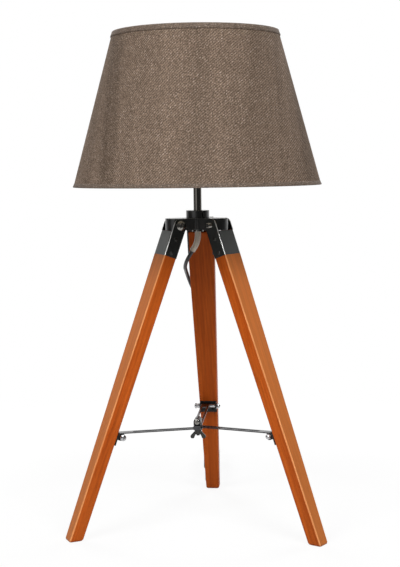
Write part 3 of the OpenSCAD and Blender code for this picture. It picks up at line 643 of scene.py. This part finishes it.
def revolve(name, profile, count, cone=None):
    """Turns a closed outline of (radius, height) about Z.

    Its UVs are metres along the outline and round it, or those of a cone's flat sheet.
    """
    n = len(profile)
    run = lengths(profile, closed=True)
    middle = sum(r for r, _ in profile) / n
    verts, faces, uvs = [], [], []
    for k in range(count):
        a = 2 * pi * k / count
        verts += [(r * sin(a), -r * cos(a), z) for r, z in profile]
    for k in range(count):
        m = (k + 1) % count
        for i in range(n):
            j = (i + 1) % n
            faces.append((k * n + i, m * n + i, m * n + j, k * n + j))
            for kk, ii in ((k, i), (k + 1, i), (k + 1, i + 1), (k, i + 1)):
                turn = 2 * pi * (kk / count - (k >= count // 2))
                uvs.append(unrolled(*profile[ii % n], turn, cone) if cone else (turn * middle, run[ii]))
    return new_piece(name, verts, faces, uvs)


def loft(name, rings, closed=False, uv=None):
    """Surface through rings of points, capped at both ends or closed to a loop.

    uv gives the pair of a corner from the numbers of its ring and of its point.
    """
    count, n = len(rings), len(rings[0])
    faces, uvs = [], []
    for j in range(count if closed else count - 1):
        i = (j + 1) % count
        for k in range(n):
            m = (k + 1) % n
            faces.append((j * n + k, j * n + m, i * n + m, i * n + k))
            if uv:
                uvs += [uv(j, k), uv(j, k + 1), uv(i, k + 1), uv(i, k)]
    if not closed:
        faces += [tuple(reversed(range(n))), tuple(range((count - 1) * n, count * n))]
        if uv:
            uvs += [(0.0, 0.0)] * (2 * n)
    return new_piece(name, [v for ring in rings for v in ring], faces, uvs)


def tube(name, path, radii, sides, bore=None):
    """A round tube along points, with flat ends, or with a bore of the given radius."""
    last = len(path) - 1
    run = lengths(path)
    rows = list(enumerate(radii))
    if bore:
        rows += [(i, bore) for i in range(last, -1, -1)]
    rings = []
    circle = arc(0, 0, 1, 0, 360, sides)[:-1]
    for i, r in rows:
        ahead = (path[min(last, i + 1)] - path[max(0, i - 1)]).normalized()
        side = Vector((1, 0, 0)).cross(ahead).normalized()
        up = ahead.cross(side)
        rings.append([path[i] + r * (x * side + y * up) for x, y in circle])

    def uv(j, k):
        i, r = rows[j]
        return k / sides * 2 * pi * r, run[i]

    return loft(name, rings, bool(bore), uv)


def curve_through(points, steps):
    """Points of a smooth curve through the given ones, with extra points between each two."""
    out = []
    last = len(points) - 1
    for i in range(last):
        a, b = points[max(0, i - 1)], points[i]
        c, d = points[i + 1], points[min(last, i + 2)]
        for k in range(steps):
            t = k / steps
            out.append(
                0.5 * ((2 * b) + (c - a) * t + (2 * a - 5 * b + 4 * c - d) * t * t
                       + (3 * b - a - 3 * c + d) * t ** 3)
            )
    return out + [points[last]]


# ---- Cord's route, as in the part's source, in millimetres


HANK_U = Vector((-0.0995, 0.995, 0)).normalized()
HANK_V = Vector((HANK_U.y, -HANK_U.x, 0))
HANK_FROM = Vector((-5.3, 213, CORD_D / 2 + 0.05))
HANK_TURN = 2 * HANK_RUN + 2 * pi * HANK_R
HANK_SPAN = HANK_LOOPS * HANK_PITCH
FREE_ROUTE = (
    (0, 0, EXIT_Z), (0, 0, 356.4), (-1, 0.4, 350.4), (-3.1, 1.3, 344.6), (-6.4, 2.9, 339.2),
    (-10.2, 5.6, 333.2), (-14.2, 10, 326.8), (-17.2, 16.6, 320.8), (-19, 26, 315.4),
    (-19.6, 37.5, 311.2), (-19.8, 49.5, 306.6), (-19.4, 61, 300.6), (-17.8, 71, 292.4),
    (-14.6, 78.6, 282), (-10.8, 83.6, 269.6), (-7.8, 87.2, 255.4), (-5.8, 91.2, 239.5),
    (-5, 97.6, 220), (-5, 105.4, 198.5), (-5, 113.3, 177), (-5, 121.3, 155.5), (-5, 129.3, 133.8),
    (-5, 137.3, 112.2), (-5, 145.3, 90.6), (-5, 153.3, 69), (-5, 161, 48.5), (-5.3, 168, 29.5),
    (-6, 173.6, 17.4), (-7.8, 180.2, 8.7), (-9.8, 188.5, 3.6),
)


def hank_point(along, up, way, turn):
    """A point of a loop. The lower runs lie straight, and the rest drifts sideways by one pitch."""
    drift = max(0, way - HANK_RUN) / (HANK_TURN - HANK_RUN)
    aside = (turn + drift) * HANK_PITCH - HANK_SPAN / 2
    return HANK_FROM + along * HANK_U + Vector((0, 0, up)) + aside * HANK_V


def hank_points():
    """Three upright loops and one more lower run, with enough points to look round."""
    run, r = HANK_RUN, HANK_R
    shares = [i / 12 for i in range(12)]
    angles = [pi * i / 18 for i in range(18)]

    def bow(f):
        """0 at the ends of a run, and 1 in its middle."""
        return (1 - cos(2 * pi * f)) / 2

    def lower(f, turn):
        return hank_point(run * f, HANK_RISE * bow(f), run * f, turn)

    out = []
    for turn in range(HANK_LOOPS):
        out += [lower(f, turn) for f in shares]
        out += [hank_point(run + r * sin(a), r * (1 - cos(a)), run + r * a, turn) for a in angles]
        out += [hank_point(run * (1 - f), 2 * r - HANK_DIP * bow(f), run * (1 + f) + pi * r, turn)
                for f in shares]
        out += [hank_point(-r * sin(a), r * (1 + cos(a)), 2 * run + pi * r + r * a, turn)
                for a in angles]
    return out + [lower(f, HANK_LOOPS) for f in (*shares, 1)]


def cord_route():
    """In metres, the whole centreline from the hub to the plug, its end there, and the free stretch."""
    hank = hank_points()
    start = hank[0] - CORD_D * HANK_U
    end = hank[-1] + CORD_D * HANK_U
    free = [Vector(p) for p in FREE_ROUTE] + [start - 9.7 * HANK_U, start]
    shift = Vector((0, 0, PLUG_T / 2 - HANK_FROM.z)) - HANK_SPAN / 2 * HANK_V
    plug_at = end + (TAIL_RUN + 2 * TAIL_LEAD) * HANK_U + shift
    tail = [end]
    for t in (0, 0.2, 0.4, 0.6, 0.8, 1):
        tail.append(end + (TAIL_LEAD + TAIL_RUN * t) * HANK_U + (3 * t * t - 2 * t ** 3) * shift)
    tail.append(plug_at)
    first = curve_through(free, 5)
    whole = first + hank + curve_through(tail, 5)
    return [p * MM for p in whole], plug_at * MM, [p * MM for p in first]


def along_hank(at):
    """Turns a piece made along +Y into the hank's direction, and moves it to a place."""
    turn = atan2(HANK_U.y, HANK_U.x) - pi / 2
    return Matrix.Translation(at) @ Matrix.Rotation(turn, 4, "Z")


# ---- Geometry nodes


def rib_tree(material):
    """Lays a row of round ribs along +Y, each one a little larger than the one before."""
    g = Graph(bpy.data.node_groups.new("relief_ribs", "GeometryNodeTree"))
    sockets = (
        ("Count", "Int", 5), ("Pitch", "Float", 2.0 * MM), ("First radius", "Float", 3.5 * MM),
        ("Growth", "Float", 0.3 * MM), ("Wire radius", "Float", 0.45 * MM),
    )
    face = g.tree.interface
    for flow in ("INPUT", "OUTPUT"):
        face.new_socket("Geometry", in_out=flow, socket_type="NodeSocketGeometry")
    for name, kind, value in sockets:
        face.new_socket(name, in_out="INPUT", socket_type=f"NodeSocket{kind}").default_value = value

    def given(name):
        return g.add("NodeGroupInput", output=name)

    line = g.add(
        "GeometryNodeMeshLine", {"Count": given("Count"), "Offset": g.join(0, given("Pitch"))}, mode="OFFSET"
    )
    size = g.add("GeometryNodeInputIndex").math("MULTIPLY_ADD", given("Growth"), given("First radius"))
    rings = g.add(
        "GeometryNodeInstanceOnPoints",
        {
            "Points": line,
            "Instance": g.add("GeometryNodeCurvePrimitiveCircle", {"Resolution": 40, "Radius": 1.0}),
            "Rotation": (pi / 2, 0, 0),
            "Scale": g.join(size, size, 1.0),
        },
    )
    rings = g.add("GeometryNodeRealizeInstances", {0: rings})
    wire = g.add("GeometryNodeCurvePrimitiveCircle", {"Resolution": 10, "Radius": given("Wire radius")})
    swept = g.add("GeometryNodeCurveToMesh", {"Curve": rings, "Profile Curve": wire})
    swept = g.add("GeometryNodeSetMaterial", {"Geometry": swept, "Material": material})
    plug(swept, g.tree.nodes.new("NodeGroupOutput").inputs[0])
    return g.tree


def grown_piece(name, tree, **values):
    """Runs a node tree with its named inputs set, and keeps the result as a plain mesh."""
    seed = linked(name + "_seed", bpy.data.meshes.new(name + "_seed"))
    modifier = seed.modifiers.new("made", "NODES")
    modifier.node_group = tree
    for socket in tree.interface.items_tree:
        key = socket.name.replace(" ", "_").lower()
        if socket.in_out == "INPUT" and key in values:
            modifier[socket.identifier] = values[key]
    bpy.context.view_layer.update()
    solid = bpy.data.meshes.new_from_object(seed.evaluated_get(bpy.context.evaluated_depsgraph_get()))
    seed.modifiers.remove(modifier)
    bpy.data.objects.remove(seed)
    return linked(name, solid)


# ---- Operators


class LAMP_OT_camera(bpy.types.Operator):
    """Sets the camera in front of the lamp, a little to its right and above its middle"""

    bl_idname = "lamp.camera"
    bl_label = "Camera"

    def execute(self, context):
        data = bpy.data.cameras.new("view")
        data.lens = context.scene.lamp_studio.lens
        data.sensor_width = 36
        data.clip_end = 50
        eye = linked("view", data)
        eye.matrix_world = (
            Matrix.Translation(EYE) @ Matrix.Rotation(HEADING, 4, "Z")
            @ Matrix.Rotation(pi / 2 - TILT, 4, "X") @ Matrix.Rotation(ROLL, 4, "Z")
        )
        context.scene.camera = eye
        return {"FINISHED"}


class LAMP_OT_cord(bpy.types.Operator):
    """Makes the cord, its sleeve, its hank's tie and its plug"""

    bl_idname = "lamp.cord"
    bl_label = "Cord and plug"

    def execute(self, context):
        settings = context.scene.lamp_cord
        path, plug_at, free = cord_route()
        flex = tube("mains_cord", path, [settings.diameter / 2] * len(path), 14)
        dress(flex, moulded_finish("cord_jacket", settings.jacket, 0.36))
        crisp(flex, 60)
        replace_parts(flex, "cord", "cord_hank", "cord_tail")
        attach(flex, "lamp")

        inside = [p for p in free if p.z > (EXIT_Z - SLEEVE_LEN) * MM]
        step = SLEEVE_TAPER / (len(inside) - 1)
        radii = [(SLEEVE_D / 2 - step * i) * MM for i in range(len(inside))]
        sleeve = tube("sleeve", inside, radii, 28, SLEEVE_BORE_R * MM)
        dress(sleeve, sleeve_finish(settings))
        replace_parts(crisp(outwards(sleeve), 50), "cord_sleeve")
        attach(sleeve, "lamp")

        tie = dress(self.tie(), moulded_finish("tie_strap", (0.020, 0.020, 0.021), 0.7))
        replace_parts(tie, "hank_tie")
        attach(tie, "lamp")

        place = along_hank(plug_at)
        shell = moulded_finish("plug_shell", settings.jacket, 0.42)
        body = self.plug_body()
        body.data.transform(place)
        dress(outwards(body), shell)
        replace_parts(body, "plug_body")
        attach(body, "lamp")
        ribs = grown_piece("plug_ribs", rib_tree(shell.material), count=5, pitch=2.0 * MM)
        ribs.data.transform(place @ Matrix.Translation((0, 1.2 * MM, 0)))
        outwards(ribs)
        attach(ribs, "lamp")
        blades = self.blades()
        blades.data.transform(place)
        dress(blades, plated_finish("blade_brass", context.scene.lamp_metal.brass, 0.25))
        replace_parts(blades, "plug_blades")
        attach(blades, "lamp")
        length = lengths(path)[-1]
        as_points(path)
        return {"FINISHED"}

    def tie(self):
        """A strap wrapped once round the hank's waist."""
        slack = 0.4
        wide = (HANK_SPAN + CORD_D) / 2 + slack
        low = HANK_FROM.z - CORD_D / 2 + HANK_RISE - slack
        high = HANK_FROM.z + 2 * HANK_R - HANK_DIP + CORD_D / 2 + slack
        r = CORD_D / 2 + 0.3
        corners = ((wide - r, high - r), (r - wide, high - r), (r - wide, low + r), (wide - r, low + r))
        line = []
        for i, (x, z) in enumerate(corners):
            line += arc(x, z, r, 90 * i, 90 * i + 90, 6)
        # The strap's section, in millimetres along the hank and out of it
        section = ((-2.5, 0.15), (-2.5, 0.75), (-2.2, 0.9), (2.2, 0.9), (2.5, 0.75), (2.5, 0.15),
                   (2.2, 0), (-2.2, 0))
        rings = []
        for i, (x, z) in enumerate(line):
            (x0, z0), (x1, z1) = line[i - 1], line[(i + 1) % len(line)]
            d = hypot(x1 - x0, z1 - z0)
            nx, nz = (z1 - z0) / d, (x0 - x1) / d
            rings.append([((x + nx * t) * MM, y * MM, (z + nz * t) * MM) for y, t in section])
        made = loft("hank_strap", rings, closed=True)
        centre = (HANK_FROM + HANK_RUN / 2 * HANK_U) * MM
        centre.z = 0
        made.data.transform(along_hank(centre))
        return crisp(outwards(made), 40)

    def plug_body(self):
        """Moulded body with a tapered relief, finger hollows and a flat face."""
        # Distance from the cord's end, half width, half thickness, and the power that squares the outline
        stations = (
            (0, 3.1, 3.1, 2), (0.4, 3.3, 3.3, 2), (3, 3.7, 3.7, 2), (7, 4.4, 4.4, 2), (10.4, 4.9, 4.9, 2),
            (11.2, 6.2, 5.2, 2.2), (12.4, 8.0, 5.7, 2.5), (14.5, 9.6, 6.3, 2.8), (18, 11.0, 6.8, 3),
            (22, 11.5, 6.6, 3.1), (26, 11.5, 6.5, 3.2), (30, 11.8, 6.9, 3.3), (34, 12, 7.5, 3.4),
            (37.2, 12, 7.5, 3.5), (37.8, 11.8, 7.3, 3.5), (PLUG_FACE, 11.4, 6.9, 3.5),
        )
        rings = []
        for y, w, t, power in stations:
            ring = []
            for c, s in arc(0, 0, 1, 0, 360, 56)[:-1]:
                x = w * copysign(abs(c) ** (2 / power), c)
                z = t * copysign(abs(s) ** (2 / power), s)
                ring.append((x * MM, y * MM, z * MM))
            rings.append(ring)
        return crisp(loft("plug_shell", rings), 50)

    def blades(self):
        """Two flat blades with a round hole near the tip."""
        b = bmesh.new()
        tip, h, r = PLUG_FACE + BLADE_LEN, BLADE_H / 2, 1.6
        outline = [(PLUG_FACE, -h), *arc(tip - r, r - h, r, -90, 0, 6), *arc(tip - r, h - r, r, 0, 90, 6),
                   (PLUG_FACE, h)]
        hole = arc(tip - 4, 0, BLADE_HOLE_R, 0, 360, 18)[:-1]
        for side in (-1, 1):
            x0 = side * BLADE_PITCH / 2 - BLADE_T / 2
            edges = []
            for ring in (outline, hole):
                vs = [b.verts.new((x0 * MM, y * MM, z * MM)) for y, z in ring]
                edges += [b.edges.new((vs[i], vs[(i + 1) % len(vs)])) for i in range(len(vs))]
            filled = bmesh.ops.triangle_fill(b, use_beauty=True, use_dissolve=False, edges=edges)
            flat = [g for g in filled["geom"] if isinstance(g, bmesh.types.BMFace)]
            raised = bmesh.ops.extrude_face_region(b, geom=flat)
            moved = [g for g in raised["geom"] if isinstance(g, bmesh.types.BMVert)]
            bmesh.ops.translate(b, verts=moved, vec=(BLADE_T * MM, 0, 0))
        bmesh.ops.recalc_face_normals(b, faces=b.faces)
        mesh = bpy.data.meshes.new("plug_pins")
        b.to_mesh(mesh)
        b.free()
        return linked("plug_pins", mesh)


class LAMP_OT_shade(bpy.types.Operator):
    """Makes the shade's cloth on its liner, the seam down its back and the bindings of its edges"""

    bl_idname = "lamp.shade"
    bl_label = "Shade"

    def execute(self, context):
        settings = context.scene.lamp_cloth
        slope = (CLOTH_LOW_R - CLOTH_TOP_R) / SHADE_H
        slant = hypot(SHADE_H, CLOTH_LOW_R - CLOTH_TOP_R)
        # The cloth's cone: its apex, and the sine of its half angle
        apex = SHADE_Z + CLOTH_LOW_R / slope
        sine = (CLOTH_LOW_R - CLOTH_TOP_R) / slant

        def radius(z):
            return CLOTH_LOW_R - slope * (z - SHADE_Z)

        levels = [SHADE_Z + SHADE_H * i / SHADE_ROWS for i in range(SHADE_ROWS + 1)]
        outer = [(radius(z), z) for z in levels]
        inner = [(r - CLOTH_T, z) for r, z in reversed(outer)]
        cloth = revolve("shade_cloth", outer + inner, 192, (apex, sine))
        linen = cloth_finish(settings)
        dress(cloth, linen, liner_finish(settings))
        n = len(outer) + len(inner)
        for i, face in enumerate(cloth.data.polygons):
            face.material_index = int(SHADE_ROWS < i % n < n - 1)
        crisp(cloth, 40)
        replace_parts(cloth, "shade_fabric")
        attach(cloth, "lamp")

        middle = (CLOTH_LOW_R + CLOTH_TOP_R - CLOTH_T) / 2
        spread = pi * sine
        far = hypot(CLOTH_LOW_R, apex - SHADE_Z)

        seam = dress(self.seam(radius, (apex, sine)), linen)
        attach(seam, "lamp")

        strip = binding_finish(settings)
        for name, node, edge, wide, over in (
            ("binding_top", "shade_trim_top", SHADE_Z + SHADE_H, 6.5 * MM, 1),
            ("binding_bottom", "shade_trim_bottom", SHADE_Z, 4.5 * MM, -1),
        ):
            band = dress(self.binding(name, radius, edge, wide, over), strip)
            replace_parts(band, node)
            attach(band, "lamp")
        return {"FINISHED"}

    def binding(self, name, radius, edge, wide, over):
        """A strip folded over an edge of the shade: outside, round the edge and a little way inside.

        over is 1 at the upper edge and -1 at the lower one.
        """
        folded, ripple = 4.2 * MM, 0.12 * MM
        back, inside = edge - over * wide, edge - over * folded
        t, under, gap = BINDING_T, -CLOTH_T, CLOTH_GAP
        # Height on the cloth, way out of its face, and way on from that height in millimetres
        outline = (
            (back, gap, 0), (back, t * 0.35, 0.08), (back, t * 0.70, 0.6), (back, t * 0.95, 1.5),
            (edge, t, -0.5), (edge, t * 0.7, 0.21), (edge, under * 0.2, 0.35), (edge, under * 0.8, 0.35),
            (edge, under - t * 0.6, 0.21), (edge, under - t * 0.9, -0.5),
            (inside, under - t * 0.8, 0.3), (inside, under - gap, 0),
            (edge, under - gap, -0.2), (edge, under * 0.5, 0.02), (edge, gap, -0.2),
        )
        line = [(radius(z) + out, z + over * up * MM) for z, out, up in outline]
        band = revolve(name, line, 256)
        for v in band.data.vertices:
            outward = Vector((v.co.x, v.co.y, 0)).normalized()
            wave = noise.noise(Vector((v.co.x * 60, v.co.y * 60, v.co.z * 200)))
            v.co += outward * wave * ripple
        return crisp(outwards(band), 60)

    def seam(self, radius, cone):
        """The cloth's lap at the back: a strip that stands proud of it, with a turned edge."""
        start, wide, proud, steps = radians(176.5), 9 * MM, 0.4 * MM, 8
        low, high = SHADE_Z + 6.0 * MM, SHADE_Z + SHADE_H - 7.5 * MM
        levels = [low + (high - low) * i / SHADE_ROWS for i in range(SHADE_ROWS + 1)]
        # Steps across the strip's face with their share of its height, and back along its underside
        section = [(k, min(1, 2.2 * sin(pi * k / steps) + 0.25)) for k in range(steps + 1)]
        section += [(k, 0) for k in range(steps, -1, -1)]

        def turn(z, k):
            return start + wide * k / steps / radius(z)

        def point(z, k, share):
            r = radius(z) + CLOTH_GAP + share * proud
            return r * sin(turn(z, k)), -r * cos(turn(z, k)), z

        def uv(j, k):
            z = levels[j]
            return unrolled(radius(z), z, turn(z, section[k % len(section)][0]), cone)

        rings = [[point(z, k, share) for k, share in section] for z in levels]
        return crisp(loft("shade_seam", rings, uv=uv), 50)


class LAMP_OT_legs(bpy.types.Operator):
    """Stains the three legs, with the grain along each"""

    bl_idname = "lamp.legs"
    bl_label = "Legs"

    def execute(self, context):
        for side, azimuth in LEGS.items():
            paint_node(wood_finish(azimuth, context.scene.lamp_wood), f"leg_{side}")
        return {"FINISHED"}


class LAMP_OT_metalwork(bpy.types.Operator):
    """Finishes the hub, the stem, the brackets, the bolts, the straps and the clamp"""

    bl_idname = "lamp.metalwork"
    bl_label = "Metalwork"

    def execute(self, context):
        settings = context.scene.lamp_metal
        paint = painted_finish("black_paint", settings.paint)
        small = painted_finish(
            "black_paint_small", settings.paint, rough=0.3, edge_share=0.08, edge=0.3 * MM, gloss=0.12
        )
        plated = plated_finish("bright_plate", settings.plated, 0.2)
        bolts = plated_finish("dark_plate", settings.bolts, 0.13)
        strap = plated_finish("black_chrome", settings.strap, 0.2)
        wing = plated_finish("wing_plate", settings.wing, 0.09)
        stem = plated_finish("stem_chrome", settings.stem, 0.12, edge=0.1 * MM)
        paint_node(paint, "hub_block", "hub_collar", "shade_nut")
        paint_node(stem, "rod")
        paint_node(plated, "shade_wire_top", "shade_wire_bottom", "shade_spokes", "fitter_ring", "bulb_base")
        paint_node(bolts, "base_disc", "cross_screw")
        paint_node(small, "clamp_saddle")
        paint_node(wing, "clamp_bolt", "clamp_washer", "wing_nut")
        for side, azimuth in LEGS.items():
            paint_node(sheet_finish(azimuth, settings), f"bracket_{side}", f"bracket_nails_{side}")
            paint_node(bolts, f"hinge_bolt_{side}")
            paint_node(plated, f"clip_bolt_{side}", f"clip_nut_{side}")
            paint_node(small, f"clip_{side}", f"clip_screws_{side}")
            paint_node(strap, f"strap_{side}")
        return {"FINISHED"}


class LAMP_OT_lampholder(bpy.types.Operator):
    """Finishes the lampholder, its switch, its shell and the bulb"""

    bl_idname = "lamp.lampholder"
    bl_label = "Lampholder and bulb"

    def execute(self, context):
        black = moulded_finish("holder_plastic", (0.016, 0.016, 0.016), 0.42)
        brass = plated_finish("holder_brass", context.scene.lamp_metal.brass, 0.25)
        jacket = moulded_finish("lead_jacket", context.scene.lamp_cord.jacket, 0.4)
        paint_node(black, "holder_cap", "holder_body", "switch_knob")
        paint_node(brass, "holder_thread", "holder_contact")
        paint_node(bulb_finish(), "bulb_globe")
        paint_node(jacket, "lead_inside")
        return {"FINISHED"}


class LAMP_OT_studio(bpy.types.Operator):
    """Makes the pale floor, the white surroundings and the soft lights"""

    bl_idname = "lamp.studio"
    bl_label = "Studio"

    def execute(self, context):
        settings = context.scene.lamp_studio
        self.floor(settings)
        context.scene.world = self.surroundings(settings)
        target = Vector((0, 0, 0.38))
        for name, power, at, size in (
            ("key", settings.key, (-1.13, -1.74, 2.00), 1.1),
            ("fill", settings.fill, (1.13, -1.74, 2.00), 1.1),
            ("left_rim", settings.rim, (-1.19, 1.70, 1.90), 1.0),
            ("right_rim", settings.rim, (1.19, 1.70, 1.90), 1.0),
        ):
            data = bpy.data.lights.new(name, "AREA")
            data.shape = "SQUARE"
            data.size = size
            data.energy = power
            aim = (target - Vector(at)).to_track_quat("-Z", "Y")
            linked(name, data).matrix_world = Matrix.Translation(at) @ aim.to_matrix().to_4x4()
        context.scene.view_settings.view_transform = "Standard"
        return {"FINISHED"}

    def floor(self, settings):
        """A pale round floor that fades into the white surroundings at its rim."""
        verts = [(x, y, 0) for x, y in arc(0, 0, 0.8, 0, 360, 64)[:-1]]
        floor = new_piece("paper_floor", verts, [tuple(range(len(verts)))])
        f = Finish("white_paper")
        f.set(Base_Color=settings.paper, Roughness=0.9, Specular_IOR_Level=0.1)
        x, y, _ = f.split(f.place())
        far = ((x * x + y * y) ** 0.5).span(0.30, 0.75, 0.84, 1.0)
        # Seen by the camera, also in glass and in mirrors
        seen = f.rays("Camera").larger(f.rays("Glossy")).larger(f.rays("Transmission"))
        glow = f.add("ShaderNodeEmission", {"Color": (1, 1, 1), "Strength": 1.06})
        paper = Wire(f, f.shader.outputs[0])
        mix = f.add("ShaderNodeMixShader", {0: seen * far, 1: paper, 2: glow})
        plug(mix, f.tree.nodes["Material Output"].inputs["Surface"])
        dress(floor, f)

    def surroundings(self, settings):
        """White all round to the eye. Mirrors see it white behind the lamp and dim in front and below."""
        world = bpy.data.worlds.new("white_room")
        world.use_nodes = True
        g = Graph(world.node_tree)
        direct = g.rays("Camera").larger(g.rays("Transmission"))
        mirrored = g.rays("Glossy")
        x, y, z = g.split(g.add("ShaderNodeTexCoord", output="Generated"))
        behind = y.span(-0.1, 0.8)
        before = (y * -1).span(-0.1, 0.6) * z.span(0.1, 0.6, 0.0, 0.35)
        window = (x * -0.57 + y * -0.82).span(0.90, 0.98) * z.span(-0.5, 0.0)
        room = (behind + before + window).larger(0.08)
        level = direct + (1 - direct) * (mirrored * room + (1 - mirrored) * settings.ambient)
        back = world.node_tree.nodes["Background"]
        plug((1, 1, 1), back.inputs["Color"])
        plug(level, back.inputs["Strength"])
        return world


class LAMP_PT_pieces(bpy.types.Panel):
    """Lists the lamp's pieces and their settings"""

    bl_idname = "LAMP_PT_pieces"
    bl_label = "Tripod lamp"
    bl_space_type = "VIEW_3D"
    bl_region_type = "UI"
    bl_category = "Lamp"

    def draw(self, context):
        scene = context.scene
        groups = (
            (scene.lamp_studio, (LAMP_OT_camera, LAMP_OT_studio)),
            (scene.lamp_cord, (LAMP_OT_cord,)),
            (scene.lamp_cloth, (LAMP_OT_shade,)),
            (scene.lamp_wood, (LAMP_OT_legs,)),
            (scene.lamp_metal, (LAMP_OT_metalwork, LAMP_OT_lampholder)),
        )
        for settings, operators in groups:
            box = self.layout.box()
            for operator in operators:
                box.operator(operator.bl_idname)
            for name in settings.__annotations__:
                box.prop(settings, name)


SETTINGS = {
    "lamp_cloth": ClothSettings,
    "lamp_wood": WoodSettings,
    "lamp_metal": MetalSettings,
    "lamp_cord": CordSettings,
    "lamp_studio": StudioSettings,
}
OPERATORS = (
    LAMP_OT_camera, LAMP_OT_cord, LAMP_OT_shade, LAMP_OT_legs, LAMP_OT_metalwork, LAMP_OT_lampholder,
    LAMP_OT_studio,
)


def register():
    for name, group in SETTINGS.items():
        bpy.utils.register_class(group)
        setattr(bpy.types.Scene, name, PointerProperty(type=group))
    for operator in OPERATORS:
        bpy.utils.register_class(operator)
    bpy.utils.register_class(LAMP_PT_pieces)


def unregister():
    bpy.utils.unregister_class(LAMP_PT_pieces)
    for operator in reversed(OPERATORS):
        bpy.utils.unregister_class(operator)
    for name, group in SETTINGS.items():
        delattr(bpy.types.Scene, name)
        bpy.utils.unregister_class(group)


def main():
    register()
    for operator in OPERATORS:
        group, name = operator.bl_idname.split(".")
        if getattr(getattr(bpy.ops, group), name)() != {"FINISHED"}:
            raise RuntimeError(f"{operator.bl_label} wasn't made")


if __name__ == "__main__":
    main()
